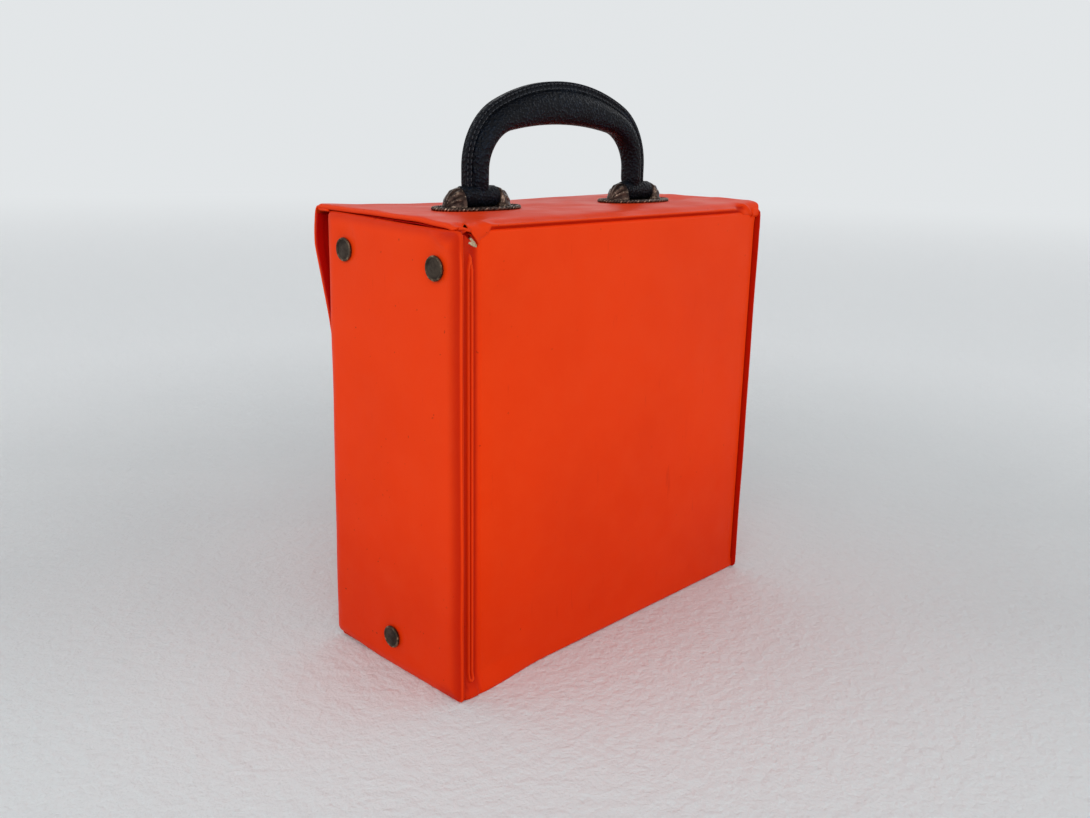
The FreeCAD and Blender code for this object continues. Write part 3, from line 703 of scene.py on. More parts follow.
def panel_surface(side, y, z, inset):
    """Points of a panel's outer face, bowed out from its flange and pulled out of square."""
    x = eased(inset, PANEL_PROFILE)
    share = np.clip((inset - PANEL_SHOULDER) / (RING_WIDTH - PANEL_SHOULDER), 0, 1)
    x += (PAD_FACE - FLANGE_FACE - 0.1) * np.maximum(0, 1 - (1 - share) ** 2.2) ** 0.75
    pad = smooth(inset, 4, 9)
    x += pad * (0.16 * waves(y, z, 38, 3 + side) - 0.1)
    for rivet_y, rivet_z in RIVETS:
        x -= RIVET_DIP * fade(np.hypot(y - rivet_y, z - rivet_z), 6.0, 12.0)
    pucker = np.exp(-(((y - 47) * 0.5 + (z - 233)) / 2.2) ** 2) * smooth(z, 226, 236)
    x += PUCKER * (pucker * smooth(y, 30, 44))
    edge = fade(inset, 2.0, 8.0)
    x += 0.25 * edge * waves(y, z, 30, 8 + side) * smooth(inset, -1, 2)
    z = z + panel_top(y, side) * smooth(z, WALL_TOP - 60, WALL_TOP)
    y = y + 0.35 * waves(z, 0 * z, 70, 5) * (1 - pad)
    z = z + FRONT_RAISE * smooth(-y, 10, 56) * fade(z, 0, 40)
    y = y + (FRONT_PULL + FRONT_LEAN * smooth(z, -30, 230)) * smooth(-y, 15, 56)
    if side < 0:
        y = y - LEFT_PULL * smooth(y, 30, 56)
    return x, y, z


def end_panel(side):
    name = "right" if side > 0 else "left"
    flat, inset, faces = panel_grid()
    x, y, z = panel_surface(side, flat[:, 0], flat[:, 1], inset)
    # Painted shade on the rounded shoulder by the panel's rear edge, and along its top edge under the
    # lid.
    painted_shade = 0.7 * fade(inset, 0.8, 9) * smooth(y, 30, 50) * smooth(inset, 0.4, 0.9)
    painted_shade = np.maximum(painted_shade, 0.4 * fade(inset, 0.5, 6) * smooth(z, 226, 236))
    # Lighter along the flange's very edge: wear and painted highlight.
    wear_and_highlight = fade(inset, 0.1, 0.4) * 0.35
    points = np.stack([side * x, y, z], axis=-1)
    panel = make_object(name + "_end_panel", points, faces, VINYL,
                        {"painted_shade": painted_shade, "wear_and_highlight": wear_and_highlight}, VINYL_THICKNESS, side < 0)
    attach(panel, "case")
    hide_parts(name + "_end_skin")
    # The liner inside the flange gets painted shade, by LINER_SHADE.
    points = np.stack([side * np.full(len(x), FLANGE_BACK), y, z], axis=-1)
    liner = make_object(name + "_end_liner", points, faces, VINYL,
                        {"painted_shade": LINER_SHADE[side] * np.ones(len(x)), "wear_and_highlight": 0 * x},
                        VINYL_THICKNESS, side < 0)
    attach(liner, "case")
    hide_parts(name + "_end_lining")


# Round caps: turned profiles as (radius, height) pairs

CAP_PROFILE = [(0.0, 1.02), (2.0, 1.0), (3.8, 0.92), (4.7, 0.8), (4.95, 0.82), (5.2, 1.12),
               (5.6, 1.28), (5.95, 1.12), (6.12, 0.7), (6.1, 0.2), (5.7, -0.35), (4.0, -0.5)]
CAP_EDGE = 6.2  # radius of a stud's cap in the CAD
CAP_LIGHT_RIM = 5.4  # the caps' rims are painted lighter from this radius out: bare metal from wear, and painted highlight
RIVET_SHANK = [(1.6, -0.5), (1.6, -5.4), (0.0, -5.4)]
STUD_SHANK = [(1.5, -0.5), (1.5, -2.6), (0.0, -2.6)]
STUD_STAND = 1.2  # from a stud cap's outer face back to its base


def turned(profile, centre, axis, count=48):
    """Points, faces and values for wear and painted highlight of a profile turned about an axis
    through its centre.
    """
    axis = Vector(axis).normalized()
    side = axis.orthogonal().normalized()
    other = axis.cross(side)
    points = []
    wear_and_highlight = []
    for radius, height in profile:
        for k in range(count):
            angle = 2 * math.pi * k / count
            out = math.cos(angle) * side + math.sin(angle) * other
            points.append(Vector(centre) + axis * height + out * max(radius, 0.001))
            # The caps' rims are lighter: wear and painted highlight.
            wear_and_highlight.append(smooth(radius, CAP_LIGHT_RIM - 0.5, CAP_LIGHT_RIM) if height > 0.5 else 0.0)
    faces = [face[::-1] for face in grid_faces(len(profile), count, around=True)]
    return np.array(points), faces, np.array(wear_and_highlight)


def make_caps(name, node, body, places, axis, profile):
    points, faces, wear_and_highlight = joined_parts([turned(profile, place, axis) for place in places])
    piece = make_object(name, points, faces, PATINA, {"wear_and_highlight": wear_and_highlight, "painted_shade": 0 * wear_and_highlight})
    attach(piece, body)
    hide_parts(node)


def make_rivets():
    for side, name in ((1, "right"), (-1, "left")):
        places = [(side * PAD_FACE, y, z) for y, z in RIVETS]
        make_caps(name + "_rivet_caps", name + "_end_rivets", "case", places, (side, 0, 0),
                  CAP_PROFILE + RIVET_SHANK)
    low, high = corners("flap_caps")
    middle_z = (low.z + high.z) / 2
    reach = high.x - CAP_EDGE
    places = [(side * reach, low.y + STUD_STAND, middle_z) for side in (-1, 1)]
    make_caps("flap_stud_caps", "flap_caps", "flap", places, (0, -1, 0), CAP_PROFILE + STUD_SHANK)


# Lid: top sheet, hinge and the roll round its edges

# Heights of the warped lid above its flat place, by row (y) and column (x)
LID_COLUMNS = [-126, -96, -60, 0, 60, 96, 126]
LID_ROWS = [-58, -20, 20, 44]
LID_LIFTS = [[1.6, 0.6, 0.2, -0.7, -0.3, 0.5, 1.7],
             [2.0, 1.2, 0.6, 0.3, 0.2, 0.4, 1.2],
             [2.0, 1.2, 0.7, 0.4, 0.3, 0.1, 0.4],
             [1.7, 0.5, 0.1, -0.3, -0.3, -0.5, -1.0]]
LID_TOP = lid_high.z
LID_UNDER = lid_lining_low.z
LID_FRONT = lid_low.y
LID_END = lid_high.x
LID_WARP_END = 44  # behind this y the lid's height stays the same
LID_ROLL = 1.7
LID_TUCK = 9.0  # how far the sheet is tucked in under the lid
TUCK_STEP = 2.4
HINGE_BEAD_FALL = 2.8  # how far below the lid's top the hinge bead is
LEFT_FOLD = (-107.5, 247.0)  # upper end of the diagonal fold at the hinge's left end
LEFT_SLOT = (-105.0, 242.6)  # middle of the small open slot beside it
LEFT_SLOT_DEPTH = 2.2
LEFT_HEM = 237.0  # height of the sheet's free edge at the left end
SEAT_HALF = (28, 14)  # half the size of the flat place under each fitting

# Rows over the lid's rear edge: y and fall along the hinge, then y and share of the way down at
# the torn corner
HINGE_ROWS = [(43, 0.05, 43, 0.0), (45, 0.2, 45, 0.0), (46.5, 0.45, 46.5, 0.02),
              (48, 0.85, 48, 0.04), (49.2, 1.3, 49.2, 0.07), (50.2, 1.7, 50.1, 0.1),
              (51.0, 2.0, 50.8, 0.14), (51.7, 2.2, 51.3, 0.19), (52.2, 2.4, 51.7, 0.24),
              (52.5, 2.65, 52.0, 0.3), (52.55, 2.95, 52.2, 0.37), (52.35, 3.25, 52.3, 0.44),
              (51.9, 3.5, 52.4, 0.51), (51.4, 3.75, 52.45, 0.58), (51.0, 4.1, 52.5, 0.65),
              (50.75, 4.5, 52.5, 0.72), (50.6, 5.0, 52.5, 0.8), (50.5, 5.6, 52.45, 0.87),
              (50.3, 6.3, 52.4, 0.94), (50.0, 7.0, 52.3, 1.0)]


def from_seat(x, y):
    """Distance from the middle of the nearer fitting, as a share of the flat place under it."""
    return np.hypot((np.abs(x) - FITTING_X) / SEAT_HALF[0], y / SEAT_HALF[1])


def lid_lift(x, y):
    """How far the warped lid stands above its flat place."""
    y = np.minimum(y, LID_WARP_END)
    rows = [eased(x, list(zip(LID_COLUMNS, row))) for row in LID_LIFTS]
    total = rows[0]
    for low, high, before, after in zip(LID_ROWS, LID_ROWS[1:], rows, rows[1:]):
        total = total + (after - before) * smooth(y, low, high)
    return total * smooth(from_seat(x, y), 1.05, 1.9)


def rolled_edge(edge):
    """The tuck under the lid and the roll round its edge: (place, share of the lid's thickness)."""
    rows = [(edge + LID_TUCK - TUCK_STEP * k, 1.0) for k in range(4)]
    for angle in np.linspace(-90, 90, 11):
        a = math.radians(angle)
        rows.append((edge + LID_ROLL - LID_ROLL * math.cos(a), 0.5 - 0.5 * math.sin(a)))
    return rows


def lid_grid():
    """Grid over the lid: x, y, the shares rolled under at the ends and front, and the rear's fall."""
    end = rolled_edge(-LID_END)
    middle = chain(steps(-LID_END + LID_ROLL, -FINE_END, 0.8), steps(-FINE_END, FINE_END, 3),
                   steps(FINE_END, LID_END - LID_ROLL, 0.9))
    across = end + [(x, 0.0) for x in middle[1:-1]] + [(-x, drop) for x, drop in end[::-1]]
    along = [(y, drop, 0.0) for y, drop in rolled_edge(LID_FRONT)]
    along += [(y, 0.0, 0.0) for y in steps(LID_FRONT + LID_ROLL, 40, 2.6)[1:]]
    along += [(y, 0.0, fall) for y, fall, _, _ in HINGE_ROWS]
    x, y = np.meshgrid([place for place, _ in across], [row[0] for row in along])
    end_drop, front_drop = np.meshgrid([drop for _, drop in across], [row[1] for row in along])
    fall = np.repeat([[row[2]] for row in along], len(across), axis=1)
    return x, y, end_drop, front_drop, fall


def tear_edge(x):
    """Height of the sheet's free edge: along the tear at the right corner, level at the left."""
    slope = (TEAR_FOOT[1] - TEAR_TOP[1]) / (TEAR_FOOT[0] - TEAR_TOP[0])
    line = np.maximum(TEAR_TOP[1] + (x - TEAR_TOP[0]) * slope,
                      TEAR_FOOT[1] + (TEAR_FOOT[0] - x) * 0.8)
    return np.where(x < 0, LEFT_HEM, np.minimum(line + 0.3, LID_TOP - 1.5))


def corner_patch(x, y, z):
    """Where the sheet would lie if it were drawn down over the back wall, as at its two corners."""
    edge = tear_edge(x)
    patch_y = y.copy()
    patch_z = z.copy()
    first = len(y) - len(HINGE_ROWS)
    for row, (_, _, new_y, share) in enumerate(HINGE_ROWS, first):
        patch_y[row] = new_y
        start = z[first]
        patch_z[row] = start + (np.minimum(edge[row], start - 0.5) - start) * share
    tucked = smooth(x, -113, -109) * fade(x, 109, 113) * smooth(patch_z, 239, 235)
    patch_y = patch_y - 0.9 * tucked
    hem = np.clip(([0.0] * first + [share for _, _, _, share in HINGE_ROWS]), 0.8, 1.0)[:, None]
    patch_y = patch_y - 6.0 * (hem - 0.8) * fade(x, TEAR_FOOT[0] - 1, TEAR_FOOT[0] + 1)
    return patch_y, patch_z


def left_corner(x, y, z):
    """Y with the diagonal fold at the hinge's left end, and how far inside the slot it is, 0 to 1."""
    off_fold = ((x - LEFT_FOLD[0]) - (z - LEFT_FOLD[1])) / math.sqrt(2)
    fold = np.exp(-(off_fold / 0.8) ** 2) * smooth(-x, 105, 108) * fade(-x, 116, 119) * (y > 49)
    y = y + 0.9 * fold
    slot = np.exp(-((x - LEFT_SLOT[0]) / 4.2) ** 4 - ((z - LEFT_SLOT[1]) / 1.1) ** 2) * (y > 49)
    return y, slot


def lid_cover():
    """Sheet over the lid, tucked under at the ends and the front, with the hinge at the back."""
    x, y, end_drop, front_drop, fall = lid_grid()
    thick = (LID_TOP - LID_UNDER) - 0.8 + 0.3 * waves(x, y, 50, 6)
    end_drop = end_drop * fade(fall, 1.0, 3.0)
    drop = np.maximum(end_drop, front_drop)
    z = LID_TOP + lid_lift(x, y) * fade(fall, 0.5, 4) - thick * drop - fall
    limit = LID_END - 1.6 * smooth(fall, 0.8, 4.0)
    x = np.clip(x, -limit, limit)
    patch_y, patch_z = corner_patch(x, y, z)
    at_corner = np.maximum(smooth(x, 101.0, 105.0) * fade(x, 120.0, 121.5), smooth(-x, 104, 109))
    at_corner = at_corner * fade(end_drop, 0.1, 0.5)
    y = y + (patch_y - y) * at_corner
    z = z + (patch_z - z) * at_corner
    wrinkle = 0.3 * waves(x, y * 3, 34, 9) * smooth(y, -50, -20) * fade(y, 30, 44)
    flat = (end_drop + front_drop < 0.02) * (fall < 0.3)
    z += wrinkle * smooth(from_seat(x, y), 1.05, 1.6) * flat
    bead = np.exp(-((fall - HINGE_BEAD_FALL) / 0.45) ** 2)
    band = smooth(fall, 3.3, 4.2)
    inside = smooth(x, -112, -92) * fade(x, 101, 105)
    y = y + 0.3 * bead * inside
    y, slot = left_corner(x, y, z)
    y = y - LEFT_SLOT_DEPTH * slot
    # Painted shade: a little over the whole cover, more below the hinge bead, on the tuck under the
    # lid's ends and in the slot at the left corner.
    painted_shade = 0.16 + 0.75 * band * (1 - at_corner) + 0.6 * smooth(end_drop, 0.8, 1.0) + slot
    # Lighter on the hinge bead and along the rolled edges: wear and painted highlight.
    wear_and_highlight = 0.8 * bead * inside + 0.5 * np.exp(-((drop - 0.3) / 0.25) ** 2)
    cover = make_sheet("lid_cover", x, y, z, VINYL, {"painted_shade": np.minimum(1, painted_shade), "wear_and_highlight": wear_and_highlight},
                       VINYL_THICKNESS)
    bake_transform(cover)
    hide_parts("lid_skin")


def warped_slab(name, node, inset, material):
    """Flat piece of the lid that follows the lid's warp, drawn in from its CAD outline by an inset."""
    low, high = corners(node)
    x, y = np.meshgrid(steps(low.x + inset, high.x - inset, 4),
                       steps(low.y + inset, high.y - inset, 4))
    rear = smooth(y, 42, 50)
    z = high.z + lid_lift(x, y) - 0.1 - 0.2 * rear
    # Painted shade towards the rear, under the hinge.
    slab = make_sheet(name, x, y, z, material, {"painted_shade": 0.3 * rear, "wear_and_highlight": 0 * x}, high.z - low.z)
    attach(slab, "lid")
    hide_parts(node)


# Flap: a sheet that hangs from the lid's front edge

FLAP_TOP = 243.1
FLAP_OUTER = -59.4
FLAP_LENGTH = FLAP_TOP - flap_low.z
FLAP_HALF_TOP = flap_high.x
FLAP_HALF_LOW = 115.5
FLAP_CORNER = 20.0
FLAP_TAPER = 18.0
FLAP_THICKNESS = 0.8
FLAP_BEAD_INSET = 4.6  # the weld line round the flap, in from its edge

# The flap's bow, as (drop, y) pairs, and its roll over the lid's edge, as (y, height) pairs
FLAP_OUT = [(0, -61.2), (7, -63.2), (19, -63.4), (34, -61.6), (56, FLAP_OUTER), (98, FLAP_OUTER)]
FLAP_ROLL = [(-56.0, 0.9), (-57.6, 0.95), (-59.0, 0.85), (-60.3, 0.45), (-61.3, -0.4),
             (-62.0, -1.6), (-62.4, -3.0)]
FLAP_ROLL_WIDTH = 0.997  # the roll's share of the flap's width


def flap_half_width(drop):
    half = FLAP_HALF_TOP - (FLAP_HALF_TOP - FLAP_HALF_LOW) * np.clip(
        (drop - FLAP_TAPER) / (FLAP_LENGTH - FLAP_TAPER), 0, 1)
    up = np.maximum(0, drop - (FLAP_LENGTH - FLAP_CORNER))
    return half - (FLAP_CORNER - np.sqrt(np.maximum(0, FLAP_CORNER ** 2 - up ** 2)))


def flap_grid(inset, first_drop):
    """Grid over the flap, with each point's distance in from the flap's edge."""
    last = FLAP_LENGTH - inset
    drops = chain(steps(first_drop, 24, 1.2), steps(24, last - 24, 3), steps(last - 24, last - 6, 1.0),
                  steps(last - 6, last, 0.3))
    shares = chain(steps(-1, -0.92, 0.004), steps(-0.92, 0.92, 0.02), steps(0.92, 1, 0.004))
    share, drop = np.meshgrid(shares, drops)
    half = flap_half_width(drop) - inset
    x = share * half
    edge = np.minimum((1 - np.abs(share)) * half, last - drop)
    return x, drop, edge


def flap_depth(x, drop):
    """Y of the flap's outer face."""
    spots = np.array([d for d, _ in FLAP_OUT], float)
    places = np.array([y for _, y in FLAP_OUT], float)
    line = sum(np.interp(drop + shift, spots, places) for shift in (-5, -2.5, 0, 2.5, 5)) / 5
    sway = 0.35 * waves(x, drop, 80, 2) * smooth(drop, 2, 12) * fade(drop, 50, 70)
    return line + np.minimum(0, sway)


def flap_cover():
    x, drop, edge = flap_grid(0, 5)
    y = flap_depth(x, drop)
    rim = np.exp(-((edge - FLAP_BEAD_INSET) / 0.6) ** 2)
    y = y + 0.45 * rim + 0.35 * fade(edge, 0, 0.8)
    roll_x = np.array([x[0]] * len(FLAP_ROLL))
    roll_y = np.array([[place] * x.shape[1] for place, _ in FLAP_ROLL])
    roll_z = np.array([[FLAP_TOP + height] * x.shape[1] for _, height in FLAP_ROLL])
    lift = lid_lift(roll_x, LID_FRONT + 0 * roll_x)
    roll_z = roll_z + lift * smooth(roll_z, FLAP_TOP - 3, FLAP_TOP + 1)
    bead = np.exp(-((roll_z - (FLAP_TOP + 0.2)) / 0.7) ** 2)
    x = np.concatenate([roll_x * FLAP_ROLL_WIDTH, x])
    y = np.concatenate([roll_y, y])
    z = np.concatenate([roll_z, FLAP_TOP - drop])
    # Painted shade on the roll's bead and in the weld groove round the flap; lighter on that bead and
    # along the flap's free edge, from wear and painted highlight.
    painted_shade = np.concatenate([0.3 * bead, 0.7 * rim])
    wear_and_highlight = np.concatenate([0.6 * bead, 0.8 * fade(edge, 0.2, 1.4)])
    cover = make_sheet("flap_cover", x, y, z, VINYL, {"painted_shade": painted_shade, "wear_and_highlight": wear_and_highlight},
                       FLAP_THICKNESS, flip=True)
    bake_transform(cover)
    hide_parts("flap_skin")


def flap_layer(name, node, depth, thickness, inset, first_drop, material):
    """Board or lining behind the flap's cover, at a depth behind its outer face."""
    x, drop, edge = flap_grid(inset, first_drop)
    y = flap_depth(x, drop) + depth
    # Painted shade along the weld line round the flap.
    layer = make_sheet(name, x, y, FLAP_TOP - drop, material,
                       {"painted_shade": 0.35 * np.exp(-((edge - FLAP_BEAD_INSET) / 0.8) ** 2), "wear_and_highlight": 0 * x},
                       thickness, flip=True)
    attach(layer, "flap")
    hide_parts(node)


# Handle fittings

PLATE_HALF_LENGTH = (fitting_high.x - fitting_low.x) / 2
PLATE_HALF_WIDTH = (fitting_high.y - fitting_low.y) / 2
PLATE_TOP = PLATE_BOTTOM + 1.2
PLATE_STEPS = 160
PLATE_SQUARENESS = 0.84  # 1 would make the plate's outline an ellipse
# The plate's steps, as (distance past its outline, height) pairs
PLATE_RINGS = [(-12.5, 1.5), (-6.0, 1.5), (-4.4, 1.35), (-3.6, 0.95), (-2.6, 0.85), (-1.4, 0.9),
               (-0.6, 0.6), (-0.4, 0.0), (-1.4, 0.0)]
DOME_LENGTH = 22.0
DOME_WIDTH = 8.6
DOME_HEIGHT = fitting_high.z - PLATE_BOTTOM - 0.6
DOME_RIBS = 13
LOOP_SLOT = 13.4
CHEEK_ROWS = 40
CHEEK_COLUMNS = 61
ROPE_RADIUS = 1.0
ROPE_HEIGHT = 0.9
ROPE_TWISTS = 58
ROPE_LOBE = 0.16
ROPE_SIDES = 12


def plate_curve(angle, grow):
    """Point of the plate's softened outline, grown outwards by a distance."""
    c, s = math.cos(angle), math.sin(angle)
    x = (PLATE_HALF_LENGTH + grow) * math.copysign(abs(c) ** PLATE_SQUARENESS, c)
    y = (PLATE_HALF_WIDTH + grow) * math.copysign(abs(s) ** PLATE_SQUARENESS, s)
    return x, y


def fitting_plate(side):
    """Stepped base plate inside its roped edge."""
    points = [(side * FITTING_X, 0.0, PLATE_BOTTOM + PLATE_RINGS[0][1])]
    wear_and_highlight = [0.0]
    for grow, height in PLATE_RINGS:
        for k in range(PLATE_STEPS):
            x, y = plate_curve(2 * math.pi * k / PLATE_STEPS, grow)
            points.append((side * FITTING_X + x, y, PLATE_BOTTOM + height))
            # The plate's raised top is lighter: wear and painted highlight.
            wear_and_highlight.append(0.35 if height > 1.3 else 0.0)
    faces = [(0, 1 + k, 1 + (k + 1) % PLATE_STEPS) for k in range(PLATE_STEPS)]
    for face in grid_faces(len(PLATE_RINGS), PLATE_STEPS, around=True):
        faces.append(tuple(1 + i for i in face[::-1]))
    return points, faces, wear_and_highlight


def fitting_rope(side):
    """Twisted rope moulded round the plate's edge."""
    count = ROPE_TWISTS * 10
    points = []
    wear_and_highlight = []
    for k in range(count):
        angle = 2 * math.pi * k / count
        x, y = plate_curve(angle, -ROPE_RADIUS)
        ahead_x, ahead_y = plate_curve(angle + 0.01, -ROPE_RADIUS)
        run = Vector((ahead_x - x, ahead_y - y, 0)).normalized()
        out = Vector((run.y, -run.x, 0))
        for j in range(ROPE_SIDES):
            turn = 2 * math.pi * j / ROPE_SIDES
            lobe = math.cos(2 * turn - angle * ROPE_TWISTS)
            radius = ROPE_RADIUS * (1 + ROPE_LOBE * lobe)
            spot = out * math.cos(turn) * radius + Vector((0, 0, math.sin(turn) * radius))
            points.append((side * FITTING_X + x + spot.x, y + spot.y,
                           PLATE_BOTTOM + ROPE_HEIGHT + spot.z))
            # The rope's lobes are lighter on their crests: wear and painted highlight.
            wear_and_highlight.append(max(0.0, lobe))
    last = (count - 1) * ROPE_SIDES
    faces = grid_faces(count, ROPE_SIDES, around=True)
    for j in range(ROPE_SIDES):
        k = (j + 1) % ROPE_SIDES
        faces.append((last + j, last + k, k, j))
    return points, faces, wear_and_highlight


def fitting_cheek(side, way):
    """End of the dome beside the loop: ribs that arch down to the plate, and a flat inner wall."""
    slot = LOOP_SLOT / DOME_LENGTH
    points = []
    wear_and_highlight = []
    for i in range(CHEEK_ROWS):
        share = i / (CHEEK_ROWS - 1)
        reach = 1 - (1 - share) ** 1.8
        span = slot + (1 - slot) * reach
        full = max(0.0, 1 - span ** 2.7) ** 0.42
        ribs = math.cos(2 * math.pi * reach * 2.3 + 0.4)
        for j in range(CHEEK_COLUMNS):
            arch = math.pi * j / (CHEEK_COLUMNS - 1)
            fan = math.cos(arch * DOME_RIBS - 0.6)
            relief = (0.05 * fan + 0.015 * ribs) * (1 - 0.6 * share) * float(smooth(share, 0.02, 0.2))
            spread = full * (1 + relief)
            y = DOME_WIDTH * spread * math.cos(arch)
            z = PLATE_TOP - 0.1 + DOME_HEIGHT * 1.13 * spread * math.sin(arch) ** 0.85
            points.append((side * FITTING_X + way * DOME_LENGTH * span, y, z))
            # The ribs' crests are lighter: wear and painted highlight.
            wear_and_highlight.append(max(0.0, 0.1 + 0.4 * fan + 0.15 * ribs))
    faces = [face[::-1] for face in grid_faces(CHEEK_ROWS, CHEEK_COLUMNS)]
    faces.append(tuple(range(CHEEK_COLUMNS)))
    if way < 0:
        faces = [face[::-1] for face in faces]
    return points, faces, wear_and_highlight


def make_fittings():
    for side, name in ((1, "right"), (-1, "left")):
        parts = [fitting_plate(side), fitting_rope(side), fitting_cheek(side, 1),
                 fitting_cheek(side, -1)]
        points, faces, wear_and_highlight = joined_parts(parts)
        piece = make_object(name + "_handle_fitting", points, faces, BRONZE,
                            {"wear_and_highlight": wear_and_highlight, "painted_shade": 0 * wear_and_highlight})
        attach(piece, "lid")
        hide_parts(name + "_fitting")


# Handle

OUTER_ARCH = (73.0, 266.5, 312.4, 38.0)  # half width, spring height, crown height, shoulder radius
INNER_ARCH = (57.8, 265.3, 289.3, 20.5)
HANDLE_LEAN = 1.6  # it has been pulled a little towards the right end
HANDLE_FOOT = 253.2
FOOT_RISE = 7.0  # the grip is slimmer this far above its foot
FOOT_SLIMMING = 1.5
GRIP_HALF_DEPTH = 6.2
CROWN_EXTRA = 1.5  # how much deeper it is at its crown
GRIP_SIDES = 36
WELT_RISE = 5.2
WELT_HALF = 1.9
# Half of the welt's section, as (distance in from its edge, share of its half thickness) pairs
WELT_OUTLINE = [(0.0, 0.7), (0.0, 0.92), (0.35, 1.0), (2.1, 1.02), (2.35, 0.86), (2.65, 0.86),
                (2.9, 1.04), (4.4, 1.06), (4.9, 0.8), (7.0, 0.8)]


def arch_line(arch, foot, count):
    """Points (x, z) from the right foot to the left, evenly shared between leg, shoulder and crown."""
    half, spring, crown, radius = arch
    shoulder_x = half - radius
    rise = crown - spring
    crown_radius = (shoulder_x ** 2 + rise ** 2 - radius ** 2) / (2 * (rise - radius))
    centre_z = crown - crown_radius
    lean = math.atan2(shoulder_x, spring - centre_z)
    points = [(half, z) for z in np.linspace(foot, spring, count // 2)]
    for angle in np.linspace(0, math.pi / 2 - lean, count)[1:]:
        points.append((shoulder_x + radius * math.cos(angle), spring + radius * math.sin(angle)))
    for angle in np.linspace(lean, 0, count)[1:]:
        points.append((crown_radius * math.sin(angle), centre_z + crown_radius * math.cos(angle)))
    mirrored = [(-x, z) for x, z in points[-2::-1]]
    line = np.array(points + mirrored)
    line[:, 0] += HANDLE_LEAN * smooth(line[:, 1], foot - 4, foot + 6)
    return line


def arch_frame(count=34):
    """Outer and inner points of the handle at each station round it."""
    return arch_line(OUTER_ARCH, HANDLE_FOOT, count), arch_line(INNER_ARCH, HANDLE_FOOT, count)


def swept(section):
    """Skin through closed sections; a section is (share from inner to outer, depth) pairs."""
    rings = []
    for outer, inner in zip(*arch_frame()):
        radial = math.hypot(outer[0] - inner[0], outer[1] - inner[1])
        rings.append([(inner[0] + (outer[0] - inner[0]) * share, depth,
                       inner[1] + (outer[1] - inner[1]) * share)
                      for share, depth in section(outer[1], radial)])
    cols = len(rings[0])
    points = [point for ring in rings for point in ring]
    faces = grid_faces(len(rings), cols, around=True)
    faces.append(tuple(range(cols))[::-1])
    faces.append(tuple((len(rings) - 1) * cols + j for j in range(cols)))
    return np.array(points), faces


def grip_section(height, radial):
    """Rounded section, slimmer towards the welt on its outer edge."""
    crown = float(smooth(height, 262, 300))
    slimming = FOOT_SLIMMING * (1 - float(smooth(height, HANDLE_FOOT, HANDLE_FOOT + FOOT_RISE)))
    half_depth = GRIP_HALF_DEPTH + CROWN_EXTRA * crown - slimming
    top = 1 - (WELT_RISE - 0.6) / radial
    ring = []
    for n in range(GRIP_SIDES):
        angle = 2 * math.pi * n / GRIP_SIDES
        c, s = math.cos(angle), math.sin(angle)
        across = 0.5 + 0.5 * math.copysign(abs(c) ** 0.86, c)
        taper = 1 - 0.3 * float(smooth(across, 0.66, 1.0))
        ring.append((across * top, half_depth * math.copysign(abs(s) ** 0.8, s) * taper))
    return ring


def make_grip():
    points, faces = swept(grip_section)
    grip = make_object("handle_padding", points, faces, LEATHER)
    smoother = grip.modifiers.new("smooth", "SUBSURF")
    smoother.levels = 1
    apply_modifiers(grip)
    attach(grip, "handle")
    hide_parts("handle_grip")


def welt_section(_, radial):
    ring = [(1 - drop / radial, WELT_HALF * depth) for drop, depth in WELT_OUTLINE]
    ring += [(1 - drop / radial, -WELT_HALF * depth) for drop, depth in WELT_OUTLINE[::-1]]
    return ring[::-1]


def make_welt():
    points, faces = swept(welt_section)
    welt = make_object("handle_edge_welt", points, faces, LEATHER)
    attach(welt, "handle")
    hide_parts("handle_welt")


STITCH_PITCH = 3.1
STITCH_LENGTH = 2.3
STITCH_RADIUS = 0.33
STITCH_ROWS = (1.3, 3.7)  # in from the welt's outer edge
STITCH_SHAPE = [(0.0, 0.15), (0.08, 0.65), (0.25, 1.0), (0.5, 1.08), (0.75, 1.0), (0.92, 0.65),
                (1.0, 0.15)]
LOOP_HALF = 12.9
LOOP_BORE = 2.35
LOOP_PROFILE = [(LOOP_BORE, -LOOP_HALF), (4.2, -LOOP_HALF), (4.9, -LOOP_HALF + 0.5),
                (5.5, -LOOP_HALF + 1.6), (5.7, -5), (5.6, 0), (5.7, 5), (5.5, LOOP_HALF - 1.6),
                (4.9, LOOP_HALF - 0.5), (4.2, LOOP_HALF), (LOOP_BORE, LOOP_HALF),
                (LOOP_BORE, -LOOP_HALF)]


def capsule(start, end, radius, around=8):
    """Points, faces and values for wear and painted highlight, all zero, of a short round-ended
    stitch.
    """
    start, end = Vector(start), Vector(end)
    run = (end - start).normalized()
    side = run.orthogonal().normalized()
    other = run.cross(side)
    points = []
    for share, size in STITCH_SHAPE:
        middle = start.lerp(end, share)
        for k in range(around):
            turn = 2 * math.pi * k / around
            points.append(middle + (side * math.cos(turn) + other * math.sin(turn)) * radius * size)
    return points, grid_faces(len(STITCH_SHAPE), around, around=True), [0.0] * len(points)


